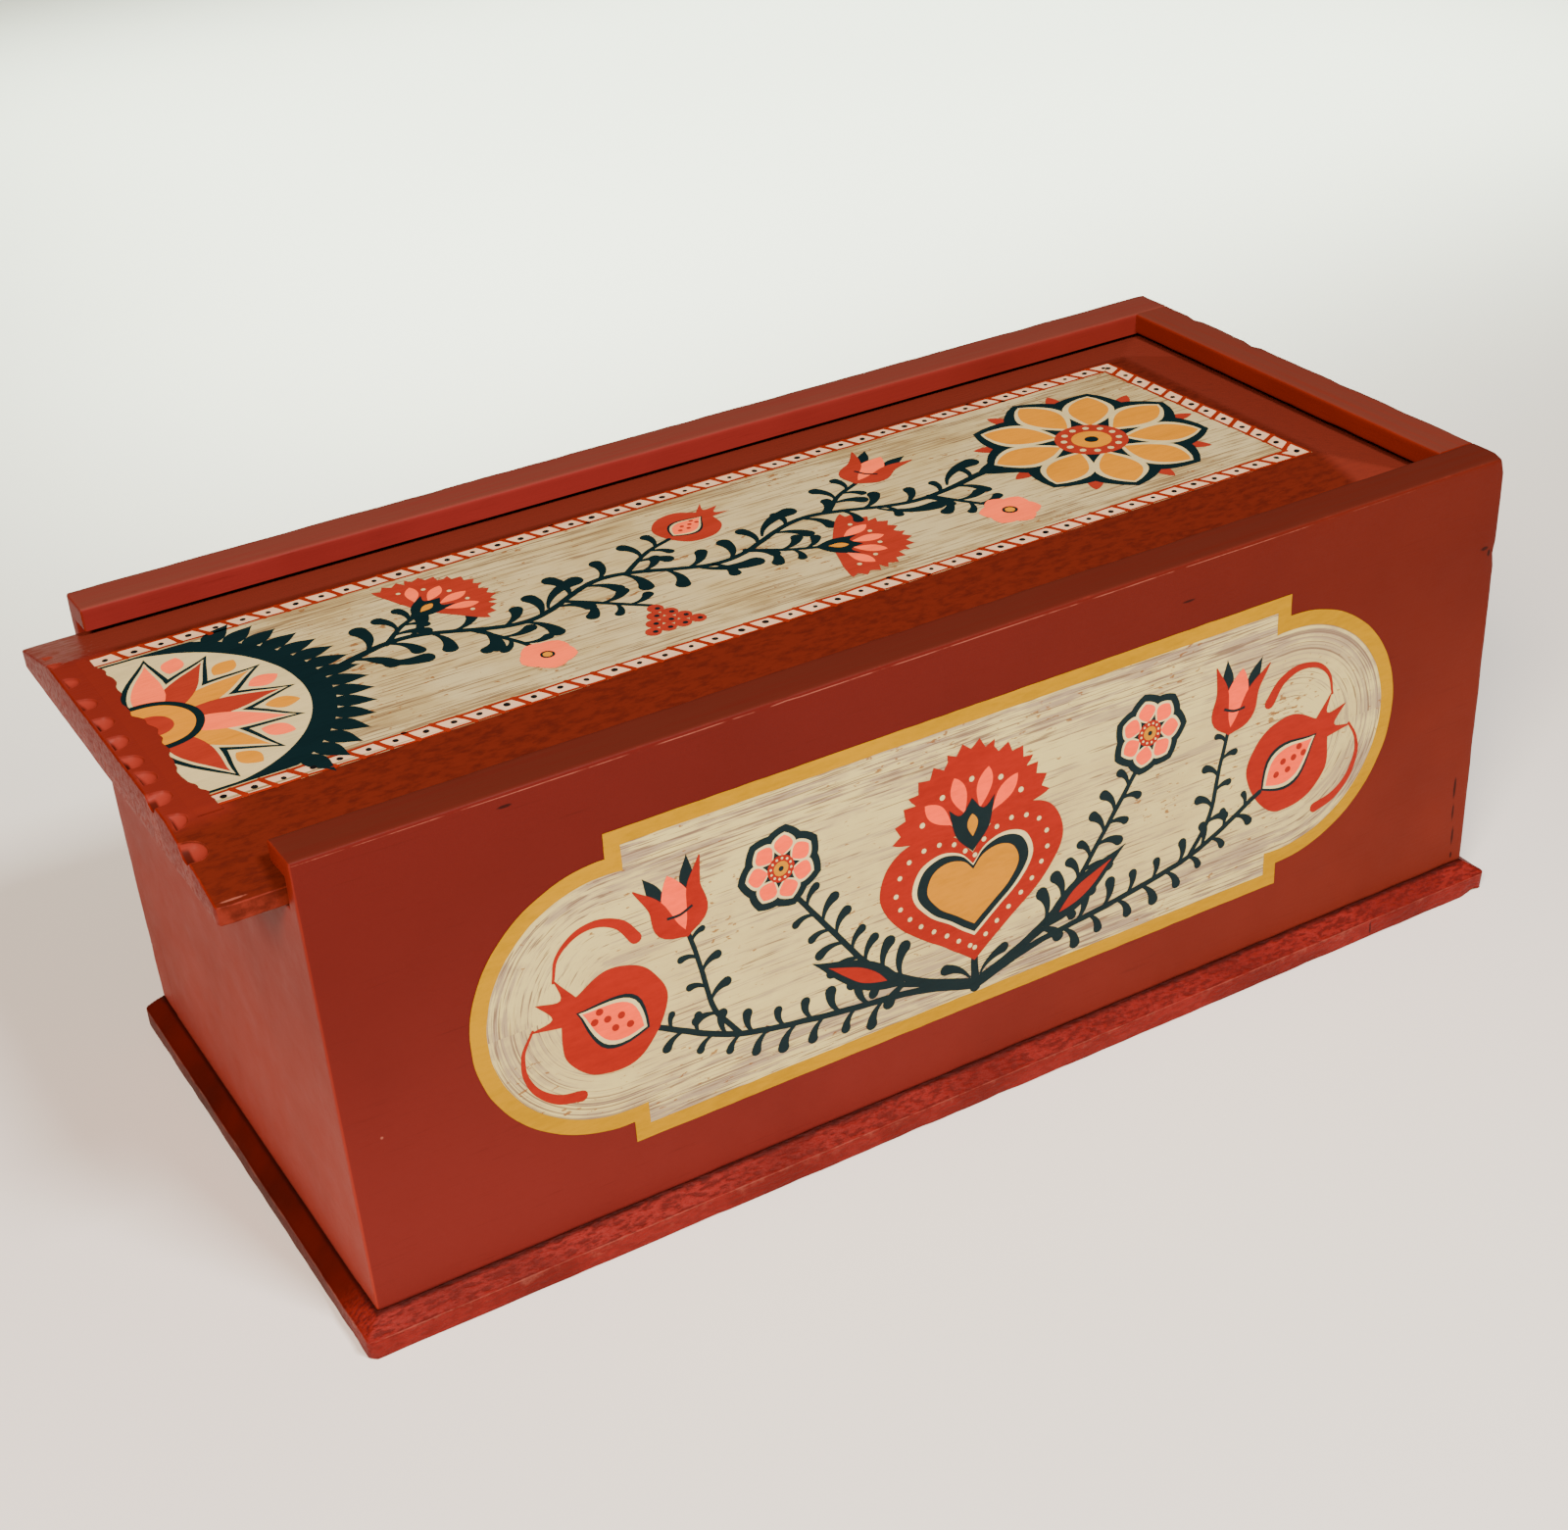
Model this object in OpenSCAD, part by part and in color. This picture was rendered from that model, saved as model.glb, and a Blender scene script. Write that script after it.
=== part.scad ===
// Slide-lid candle box: a bottom board with a chamfered edge, two long sides,
// a low end and a high end, and a raised-panel lid that slides in grooves and
// pulls out over the low end. All sizes are in millimetres.
// The origin is at the centre of the body's footprint on the underside of the
// bottom board, +X points to the high end, +Y to the back and +Z up.

/* [Body] */
// Length of the body along its long sides
body_l = 270; // [200:1:400]
// Width of the body across its long sides
body_w = 124; // [100:1:200]
// Height of the rim above the table
rim_h = 107; // [70:1:180]
// Thickness of the two long sides
side_t = 9.8; // [8:0.1:14]
// Thickness of the low end and the high end
end_t = 9.4; // [8:0.1:14]

/* [Bottom board] */
// Thickness of the bottom board
base_t = 7.3; // [6:0.1:14]
// Height of its upright edge, below the chamfer
base_edge_h = 4.4; // [2:0.1:5.5]
// How far it stands out past the body at the front and at both ends
base_overhang = 4.2; // [1:0.1:12]
// How far it stands out past the body at the back
base_back_overhang = 2.5; // [1:0.1:12]

/* [Lid] */
// Thickness of the lid at its raised field
lid_t = 9.4; // [6.5:0.1:12]
// Thickness of the lid's thin edges
lid_edge_t = 3.6; // [2.5:0.1:5]
// Width of the bevel along both long edges and the inner end
lid_bevel_w = 23; // [14:0.5:34]
// How far the lid stands out past the low end
lid_overhang = 12; // [4:0.5:30]

/* [Lid groove] */
// Depth of the groove in the sides and the high end
groove_depth = 5.6; // [4:0.1:6]
// Height of the rail above the groove
rail_h = 4.9; // [3:0.1:10]
// Play between the lid's long edges and the bottom of the groove
lid_side_gap = 0.6; // [0.3:0.1:1.5]
// Play between the lid's inner end and the bottom of the groove
lid_end_gap = 0.5; // [0.3:0.1:1.5]
// Running play under the lid
lid_rest_gap = 0.2; // [0.1:0.05:0.5]
// Play between the lid's bevel and the groove's upper edge
lid_top_gap = 0.94; // [0.3:0.02:2]

/* [Finger notches] */
// Number of gouge cuts across the lid's outer end
notch_count = 11; // [3:1:13]
// Distance from the lid's long edges to the first and last cut
notch_margin = 13.7; // [8:0.1:25]
// Radius of the gouge
notch_r = 3.3; // [2:0.1:4]
// Depth of a cut at the lid's end
notch_depth = 2.4; // [1:0.1:2.8]
// Length of a cut from the lid's end to where it runs out
notch_run = 5.5; // [3:0.1:10]

/* [Brads] */
// Diameter of a brad's shank
brad_d = 1.5; // [1:0.1:2]
// Diameter of its head
brad_head_d = 2.4; // [2.1:0.1:3.5]
// Thickness of its head
brad_head_t = 0.8; // [0.5:0.1:1.5]
// Length of a brad, head included
brad_l = 22; // [16:0.5:26]
// How far the heads are set below the surface
brad_set = 0.4; // [0:0.1:1]
// Radial play of a brad in its hole
brad_fit = 0.05; // [0.02:0.01:0.1]
// Brads at each corner of the body
corner_brads = 3; // [2:1:5]
// Distance from the bottom board and from the groove to the nearest corner brad
corner_brad_inset = 9; // [6:0.5:20]
// Brads through the bottom board into each long side
side_row_brads = 4; // [2:1:8]
// Distance from the body's ends to the nearest brad of those rows
side_row_inset = 28; // [20:1:60]
// Brads through the bottom board into each end
end_row_brads = 2; // [1:1:4]

/* [Hidden] */
$fn = 48;

barn_red = "#8f2e22";
lid_red = "#8a2d16";
chamfer_red = "#9a3a30";
steel = "#8d8b88";

// A cut runs this much past the face it opens in
cut_over = 1;
// Overlap of two bodies that are joined into one solid
weld = 0.01;

// Half sizes of the body, outside and between the boards
half_l = body_l/2;
half_w = body_w/2;
inner_l = half_l - end_t;
inner_w = half_w - side_t;

// Lid: its edges, its slope and the heights of the groove that takes it
lid_slope = (lid_t - lid_edge_t)/lid_bevel_w;
groove_y = inner_w + groove_depth;
groove_x = inner_l + groove_depth;
lid_half_w = groove_y - lid_side_gap;
lid_inner_x = groove_x - lid_end_gap;
lid_outer_x = -half_l - lid_overhang;
lid_rise_at_mouth = (groove_depth - lid_side_gap)*lid_slope;
groove_h = lid_rest_gap + lid_edge_t + lid_rise_at_mouth + lid_top_gap;
groove_top = rim_h - rail_h;
groove_floor = groove_top - groove_h;
lid_z = groove_floor + lid_rest_gap;
lid_top = lid_z + lid_t;
lid_flat_half = lid_half_w - lid_bevel_w;

// Places of the brads
corner_brad_x = half_l - end_t/2;
corner_brad_low = base_t + corner_brad_inset;
corner_brad_high = groove_floor - corner_brad_inset;
side_row_y = half_w - side_t/2;
side_row_x = half_l - side_row_inset;

// The i-th of n places spread evenly from a to b
function spread(i, n, a, b) = a + i*(b - a)/(n - 1);

// Height of the lid's upper face at a distance y from its middle line
function lid_face(y) = lid_top - max(0, abs(y) - lid_flat_half)*lid_slope;

// A board between two opposite corners
module board(low, high) {
    translate(low) cube(high - low);
}

// A solid whose section in the YZ plane runs from x0 to x1
module along_x(x0, x1) {
    translate([x0, 0, 0]) rotate([90, 0, 90]) linear_extrude(x1 - x0) children();
}

// A solid whose section in the XZ plane runs from y0 to y1
module along_y(y0, y1) {
    translate([0, y1, 0]) rotate([90, 0, 0]) linear_extrude(y1 - y0) children();
}

// One brad or, with play, the hole it is driven into: head at z = 0, point up
module brad(play = 0) {
    mouth = play > 0 ? brad_set + cut_over : 0;
    translate([0, 0, brad_set - mouth])
        cylinder(d = brad_head_d + 2*play, h = brad_head_t + mouth);
    translate([0, 0, brad_set + brad_head_t - weld])
        cylinder(d = brad_d + 2*play, h = brad_l - brad_head_t + weld);
}

// The brads of both corners of a long side, which is at the front for s = -1
module corner_brad_set(s, play = 0) {
    for (x = [-corner_brad_x, corner_brad_x])
        for (i = [0 : corner_brads - 1])
            translate([x, s*half_w, spread(i, corner_brads, corner_brad_low, corner_brad_high)])
                rotate([s*90, 0, 0])
                    brad(play);
}

// The brads that are driven up through the bottom board
module base_brad_set(play = 0) {
    for (y = [-side_row_y, side_row_y])
        for (i = [0 : side_row_brads - 1])
            translate([spread(i, side_row_brads, -side_row_x, side_row_x), y, 0])
                brad(play);
    for (x = [-corner_brad_x, corner_brad_x])
        for (i = [1 : end_row_brads])
            translate([x, spread(i, end_row_brads + 2, -inner_w, inner_w), 0])
                brad(play);
}

// The space that the lid's thin edges run in, open at the low end
module lid_groove() {
    board([-half_l - cut_over, -groove_y, groove_floor], [groove_x, groove_y, groove_top]);
}

// Bottom board, chamfered all round down to its upright edge
module base_board() {
    x = half_l + base_overhang;
    front = -half_w - base_overhang;
    back = half_w + base_back_overhang;
    color(chamfer_red)
        difference() {
            intersection() {
                along_x(-x, x)
                    polygon([[front, 0], [back, 0], [back, base_edge_h], [half_w, base_t],
                             [-half_w, base_t], [front, base_edge_h]]);
                along_y(front, back)
                    polygon([[-x, 0], [x, 0], [x, base_edge_h], [half_l, base_t],
                             [-half_l, base_t], [-x, base_edge_h]]);
            }
            base_brad_set(brad_fit);
        }
}

// A long side with its half of the groove, at the front for s = -1
module long_side(s) {
    color(barn_red)
        difference() {
            board([-half_l, min(s*half_w, s*inner_w), base_t],
                  [half_l, max(s*half_w, s*inner_w), rim_h]);
            lid_groove();
            corner_brad_set(s, brad_fit);
            base_brad_set(brad_fit);
        }
}

module front_side() {
    long_side(-1);
}

module back_side() {
    long_side(1);
}

// The end that the lid slides over: its top is level with the groove's floor
module low_end() {
    color(barn_red)
        difference() {
            board([-half_l, -inner_w, base_t], [-inner_l, inner_w, groove_floor]);
            corner_brad_set(-1, brad_fit);
            corner_brad_set(1, brad_fit);
            base_brad_set(brad_fit);
        }
}

// The end that stops the lid: as high as the sides, with the groove across it
module high_end() {
    color(barn_red)
        difference() {
            board([inner_l, -inner_w, base_t], [half_l, inner_w, rim_h]);
            lid_groove();
            corner_brad_set(-1, brad_fit);
            corner_brad_set(1, brad_fit);
            base_brad_set(brad_fit);
        }
}

// One gouge cut at the lid's outer end, running up and inwards till it fades
module notch(y) {
    tilt = atan(notch_depth/notch_run);
    reach = notch_run/cos(tilt) + notch_r;
    translate([lid_outer_x, y, lid_face(y) - notch_depth])
        rotate([0, 90 - tilt, 0])
            translate([-notch_r, 0, -notch_r])
                cylinder(r = notch_r, h = reach + notch_r);
}

// Lid: a raised field with a bevel along both long edges and the inner end
module lid() {
    color(lid_red)
        difference() {
            intersection() {
                along_x(lid_outer_x, lid_inner_x)
                    polygon([[-lid_half_w, lid_z], [lid_half_w, lid_z],
                             [lid_half_w, lid_z + lid_edge_t], [lid_flat_half, lid_top],
                             [-lid_flat_half, lid_top], [-lid_half_w, lid_z + lid_edge_t]]);
                along_y(-lid_half_w, lid_half_w)
                    polygon([[lid_outer_x, lid_z], [lid_inner_x, lid_z],
                             [lid_inner_x, lid_z + lid_edge_t],
                             [lid_inner_x - lid_bevel_w, lid_top], [lid_outer_x, lid_top]]);
            }
            for (i = [0 : notch_count - 1])
                notch(spread(i, notch_count, -lid_half_w + notch_margin,
                             lid_half_w - notch_margin));
        }
}

module front_corner_brads() {
    color(steel) corner_brad_set(-1);
}

module back_corner_brads() {
    color(steel) corner_brad_set(1);
}

module base_brads() {
    color(steel) base_brad_set();
}

base_board();
front_side();
back_side();
low_end();
high_end();
lid();
front_corner_brads();
back_corner_brads();
base_brads();
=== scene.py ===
"""Looks of the slide-lid candle box: six worn boards, their barn-red paint, and the
painted panels on the front and on the lid. Lengths are in millimetres up to the
point where a mesh is made, which is in metres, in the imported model's frame."""
import math
import random

import bmesh
import bpy
import numpy as np
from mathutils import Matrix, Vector, geometry, noise


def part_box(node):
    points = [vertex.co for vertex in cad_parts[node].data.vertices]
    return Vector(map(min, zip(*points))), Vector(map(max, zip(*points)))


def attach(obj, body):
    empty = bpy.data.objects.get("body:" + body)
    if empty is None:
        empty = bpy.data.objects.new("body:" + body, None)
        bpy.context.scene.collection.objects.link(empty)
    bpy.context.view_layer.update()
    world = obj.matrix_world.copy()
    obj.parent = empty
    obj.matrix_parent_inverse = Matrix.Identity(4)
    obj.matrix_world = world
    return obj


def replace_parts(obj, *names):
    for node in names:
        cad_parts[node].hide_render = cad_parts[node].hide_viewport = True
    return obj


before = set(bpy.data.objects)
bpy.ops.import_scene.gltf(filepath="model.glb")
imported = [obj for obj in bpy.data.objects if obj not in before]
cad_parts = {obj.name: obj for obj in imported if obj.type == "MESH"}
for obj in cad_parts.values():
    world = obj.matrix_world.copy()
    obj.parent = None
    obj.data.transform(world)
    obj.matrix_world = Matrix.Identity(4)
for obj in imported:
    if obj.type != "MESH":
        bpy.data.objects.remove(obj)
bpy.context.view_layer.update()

MM = 0.001


def corners_of(cad_node):
    """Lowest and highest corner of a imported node, in millimetres"""
    low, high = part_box(cad_node)
    return low/MM, high/MM


# ---------------------------------------------------------------- sizes, in mm
FRONT_LOW, FRONT_HIGH = corners_of("front_side")
BACK_LOW, BACK_HIGH = corners_of("back_side")
LOW_END_LOW, LOW_END_HIGH = corners_of("low_end")
HIGH_END_LOW, HIGH_END_HIGH = corners_of("high_end")
BASE_LOW, BASE_HIGH = corners_of("base_board")
LID_LOW, LID_HIGH = corners_of("lid")

RIM = FRONT_HIGH.z
RAIL_H = 4.9                    # height of the rail above the groove
RAIL_FOOT = RIM - RAIL_H
GROOVE_DEPTH = 5.6
GROOVE_FLOOR = LOW_END_HIGH.z
GROOVE_Y = BACK_LOW.y + GROOVE_DEPTH
GROOVE_X = HIGH_END_LOW.x + GROOVE_DEPTH

LID_EDGE_T = 3.6                # thickness of the lid at its thin edges
LID_BEVEL = 23.0                # width of its bevels
LID_FLAT_Y = LID_HIGH.y - LID_BEVEL
LID_FLAT_X = LID_HIGH.x - LID_BEVEL
LID_SLOPE = (LID_HIGH.z - LID_LOW.z - LID_EDGE_T)/LID_BEVEL

BASE_EDGE_H = 4.4               # upright edge of the bottom board, below its chamfer
STEP = 3.0                      # distance between a board's points, away from its arrises
NEAR = (1.2, 2.6, 5.0)          # how far from an arris the points beside it lie


# ------------------------------------------------------------ colours and nodes
def srgb(red, green, blue):
    """A colour given as it looks, in steps of 255, as the shader wants it"""
    shares = (red/255, green/255, blue/255)
    return (*[s/12.92 if s <= 0.04 else ((s + 0.055)/1.055)**2.4 for s in shares], 1.0)


class Value:
    """What a shader works out at each point: a number, a place or a colour.
    Values and plain numbers are added, multiplied and so on like any others."""

    def __init__(self, node, output):
        self.tree, self.socket = node.id_data, node.outputs[output]

    def calc(self, operation, other=0.0, swap=False):
        """One sum of this value and another, which comes first if they are swapped"""
        pair = (other, self) if swap else (self, other)
        wide = any(isinstance(p, tuple) or isinstance(p, Value) and p.socket.type != "VALUE" for p in pair)
        if wide:
            pair = [(p, p, p) if isinstance(p, (int, float)) else p for p in pair]
        node = add(self.tree, "VectorMath" if wide else "Math", dict(enumerate(pair)), operation=operation)
        return Value(node, "Value" if operation == "LENGTH" else 0)

    def __add__(self, other):
        return self.calc("ADD", other)

    def __sub__(self, other):
        return self.calc("SUBTRACT", other)

    def __rsub__(self, other):
        return self.calc("SUBTRACT", other, swap=True)

    def __mul__(self, other):
        return self.calc("MULTIPLY", other)

    def __truediv__(self, other):
        return self.calc("DIVIDE", other)


def put(value, socket):
    """Links a value to a node's input, or sets a plain one there"""
    if isinstance(value, Value):
        value.tree.links.new(value.socket, socket)
    else:
        socket.default_value = value


def add(tree, kind, inputs=None, **settings):
    """A shader node with its settings, and its inputs set or linked"""
    node = tree.nodes.new("ShaderNode" + kind)
    for key, value in settings.items():
        setattr(node, key, value)
    for key, value in (inputs or {}).items():
        put(value, node.inputs[key])
    return node


def blend(factor, a, b):
    """Colour a, under colour b where the factor is 1"""
    return Value(add(factor.tree, "Mix", {0: factor, 6: a, 7: b}, data_type="RGBA"), 2)


def layered(tone, *layers):
    """A colour under layers, each of them (mask, strength, colour)"""
    for mask, strength, colour in layers:
        tone = blend(mask*strength, tone, colour)
    return tone


def ease(value, start, end):
    """0 below start, 1 above end, and smooth between"""
    return Value(add(value.tree, "MapRange", {"Value": value, "From Min": start, "From Max": end},
                     interpolation_type="SMOOTHSTEP"), "Result")


def cloud(place, scale, detail=3.0, roughness=0.55, output="Fac"):
    """Soft noise with features of about 1/scale mm"""
    return Value(add(place.tree, "TexNoise", {"Vector": place, "Scale": scale, "Detail": detail,
                                              "Roughness": roughness}), output)


def place_in_mm(tree):
    """Where a point is on the closed box, in millimetres"""
    return Value(add(tree, "TexCoord"), "Object")*(1/MM)


def parts(place):
    """The x, y and z of a place"""
    node = add(place.tree, "SeparateXYZ", {0: place})
    return [Value(node, axis) for axis in "XYZ"]


def new_group(name, inputs, outputs=(("Mask", "Float"),)):
    """A shader node group; inputs are {name: default} and outputs (name, kind)"""
    tree = bpy.data.node_groups.new(name, "ShaderNodeTree")
    for label, default in inputs.items():
        kind = "NodeSocketVector" if isinstance(default, tuple) else "NodeSocketFloat"
        tree.interface.new_socket(label, in_out="INPUT", socket_type=kind).default_value = default
    for label, kind in outputs:
        tree.interface.new_socket(label, in_out="OUTPUT", socket_type="NodeSocket" + kind)
    given = tree.nodes.new("NodeGroupInput")
    return tree, {label: Value(given, label) for label in inputs}, tree.nodes.new("NodeGroupOutput").inputs


def use(tree, group, inputs=None):
    """Places a node group in a material and returns its outputs by name"""
    node = add(tree, "Group", inputs, node_tree=group)
    return {output.name: Value(node, output.name) for output in node.outputs}


def make_grain_group():
    """Wood grain or brush marks: long in the direction that Stretch makes small"""
    tree, given, out = new_group("grain", {"Stretch": (0.02, 1, 1), "Fine": 1.0},
                                 (("Grain", "Float"), ("Pores", "Float")))
    place = place_in_mm(tree)*given["Stretch"]
    bent = place + cloud(place, 0.15, 1.0, 0.5, "Color")*1.2
    fine = cloud(bent, given["Fine"], 5.0, 0.65)
    put(cloud(bent, 0.35, 4.0, 0.6)*0.5 + fine*0.5, out["Grain"])
    put(ease(fine, 0.60, 0.74), out["Pores"])
    return tree


def make_worn_arris_group():
    """Mask of the handled arrises, from each point's distance to the nearest arris"""
    tree, given, out = new_group("worn_arris", {"Reach": 0.8, "Scale": 0.25})
    distance = Value(add(tree, "Attribute", attribute_name="arris"), "Fac")
    rough = cloud(place_in_mm(tree), given["Scale"], 5.0, 0.7)
    put(ease((1.0 - distance/given["Reach"]) + (rough - 0.5)*2.0, 0.35, 0.85), out["Mask"])
    return tree


def make_flecks_group():
    """Small spots and short nicks, longer where Stretch is small"""
    tree, given, out = new_group("flecks", {"Stretch": (1, 1, 1), "Scale": 0.5, "Share": 0.1})
    place = place_in_mm(tree)
    spots = cloud(place*given["Stretch"], given["Scale"], 3.0, 0.6)
    level = spots + (cloud(place, 0.045, 2.0) - 0.5)*0.35
    put(ease(level - (0.80 - given["Share"]*0.6), 0.0, 0.035), out["Mask"])
    return tree


def make_mark_group():
    """One dent, scratch or stain: an uneven spot of a given half size round a place"""
    tree, given, out = new_group("mark", {"Place": (0, 0, 0), "Half size": (1, 1, 1)})
    here = place_in_mm(tree)
    uneven = (cloud(here, 0.8, 4.0, 0.7) - 0.5)*0.8
    reach = ((here - given["Place"])/given["Half size"]).calc("LENGTH") + uneven
    put(1.0 - ease(reach, 0.55, 1.0), out["Mask"])
    return tree


def make_grime_group():
    """Dirt that gathers along the seam above the bottom board, up to Height mm from it"""
    tree, given, out = new_group("grime_line", {"Height": 2.0})
    place = place_in_mm(tree)
    away = (parts(place)[2] - BASE_HIGH.z).calc("ABSOLUTE")
    rough = cloud(place, 0.3, 4.0, 0.6) + 0.55
    put(1.0 - ease(away/(given["Height"]*rough), 0.0, 1.0), out["Mask"])
    return tree


def make_top_sheen_group():
    """Painted sheen: the faces that look up are paled in streaks along the board, standing in for the
    reflection of the light above them
    """
    tree, given, out = new_group("painted_top_sheen", {"Stretch": (0.03, 1, 1)})
    up = parts(Value(add(tree, "NewGeometry"), "Normal"))[2]
    streaks = cloud(place_in_mm(tree)*given["Stretch"], 0.9, 4.0, 0.6) + 0.2
    put(ease(up, 0.5, 0.95)*streaks, out["Mask"])
    return tree


GRAIN = make_grain_group()
WORN_ARRIS = make_worn_arris_group()
FLECKS = make_flecks_group()
MARK = make_mark_group()
GRIME = make_grime_group()
TOP_SHEEN = make_top_sheen_group()


def new_material(name):
    """A material, its tree and the inputs of its shader"""
    material = bpy.data.materials.new(name)
    material.use_nodes = True
    return material, material.node_tree, material.node_tree.nodes["Principled BSDF"].inputs


def dress(shader, tone, roughness, gloss, height, depth):
    """Sets a colour, how sharp and how strong the sheen is, and lets a height pattern raise
    the surface by up to depth mm. Old oil paint has little gloss."""
    put(tone, shader["Base Color"])
    put(roughness, shader["Roughness"])
    put(gloss, shader["Specular IOR Level"])
    bump = add(height.tree, "Bump", {"Height": height, "Strength": 1.0, "Distance": depth*MM})
    put(Value(bump, "Normal"), shader["Normal"])


def marks_mask(tree, marks):
    """All of a board's marks as one mask; each mark is (place, half size)"""
    masks = [use(tree, MARK, {"Place": place, "Half size": half})["Mask"] for place, half in marks]
    mask = masks[0]
    for other in masks[1:]:
        mask = mask.calc("MAXIMUM", other)
    return mask


# ------------------------------------------------------------------- materials
BARN_RED = srgb(79, 20, 16)
BARN_BROWN = srgb(80, 22, 12)
BARN_RED_DEEP = srgb(62, 13, 8)
END_RED = srgb(106, 29, 19)
WORN_RED = srgb(128, 46, 34)
BARE_EDGE = srgb(160, 96, 80)
GRIME_BROWN = srgb(20, 6, 4)
PAINT_GLOSS = 0.07
ALONG_X = (0.03, 1.0, 1.0)      # stretch of the grain of boards that lie along x
ALONG_Y = (1.0, 0.03, 1.0)


def barn_red_paint(name, stretch, side=BARN_RED, far=BARN_BROWN, top=srgb(97, 39, 30), dark_marks=(),
                   pale_marks=()):
    """Satin red paint, brushed along the board, with a painted sheen on the faces that look up, and rubbed
    off at its arrises.
    It drifts from the side colour to the far one along the box, and is painted lighter towards the table as
    painted bounce light."""
    material, tree, shader = new_material(name)
    place = place_in_mm(tree)
    x, y, z = parts(place)
    grain = use(tree, GRAIN, {"Stretch": stretch, "Fine": 2.2})
    rubbed = use(tree, WORN_ARRIS, {"Reach": 0.45, "Scale": 0.22})["Mask"]
    tone = blend(ease(x, FRONT_LOW.x*0.4, FRONT_HIGH.x), side, far)
    tone = blend(ease(x, FRONT_LOW.x + 0.5, FRONT_LOW.x + 0.2), tone, END_RED)
    # painted light: lighter towards the table, standing in for light bounced off it
    tone = blend(ease(z, RIM - 12, BASE_HIGH.z), tone, tone*(1.4, 1.6, 1.7))
    tone = layered(tone, (ease(cloud(place, 0.025), 0.35, 0.75), 0.25, BARN_RED_DEEP),
                   (grain["Pores"], 0.4, BARN_RED_DEEP),
                   # painted sheen: the faces that look up are paled towards the top colour, in streaks
                   (use(tree, TOP_SHEEN, {"Stretch": stretch})["Mask"], 1.3, top),
                   (use(tree, GRIME, {"Height": 1.0})["Mask"], 0.7, GRIME_BROWN),
                   (rubbed, 0.3, WORN_RED))
    if dark_marks:
        tone = layered(tone, (marks_mask(tree, dark_marks), 0.8, GRIME_BROWN))
    if pale_marks:
        broken = ease(cloud(place, 0.2), 0.34, 0.56)
        tone = layered(tone, (marks_mask(tree, pale_marks)*broken, 0.45, BARE_EDGE))
    rough = cloud(place, 0.12, 4.0, 0.6)*0.2 + 0.38 + rubbed*0.25
    dress(shader, tone, rough, 0.05, grain["Grain"] + cloud(place, 0.9, 3.0, 0.6)*0.5, 0.06)
    return material


def chalky_red_paint(name):
    """The bottom board's paint: at the front its pits and streaks stay dark; away from the front it is
    painted near-black, as painted shade
    """
    material, tree, shader = new_material(name)
    place = place_in_mm(tree)
    x, y, z = parts(place)
    pits = cloud(place*(0.35, 1, 1), 1.25, 3.0, 0.6)
    broad = cloud(place, 0.05)
    to_front = ease(y, FRONT_LOW.y + 14, FRONT_LOW.y + 1)
    sloped = ease(z, BASE_EDGE_H - 0.5, BASE_EDGE_H + 0.4)
    worn_front = blend(ease(broad, 0.35, 0.65), srgb(109, 26, 22), srgb(88, 19, 15))
    worn_front = blend(ease(pits, 0.42, 0.62)*(sloped*0.6 + 0.4), worn_front, srgb(76, 16, 13))
    # painted shade: away from the front the board takes the near-black tones
    tone = blend(to_front, blend(ease(broad, 0.3, 0.7), srgb(76, 12, 4), srgb(58, 9, 3)), worn_front)
    nick = [((104.5, FRONT_LOW.y - 4, 2.4), (0.35, 1.5, 1.8))]
    tone = layered(tone, (use(tree, GRIME, {"Height": 0.7})["Mask"], 0.75, GRIME_BROWN),
                   (use(tree, WORN_ARRIS, {"Reach": 0.22, "Scale": 0.25})["Mask"], 0.22, BARE_EDGE),
                   (marks_mask(tree, nick), 0.8, GRIME_BROWN))
    dress(shader, tone, pits*0.3 + 0.36, PAINT_GLOSS, (1.0 - pits)*to_front, 0.45)
    return material


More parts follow.
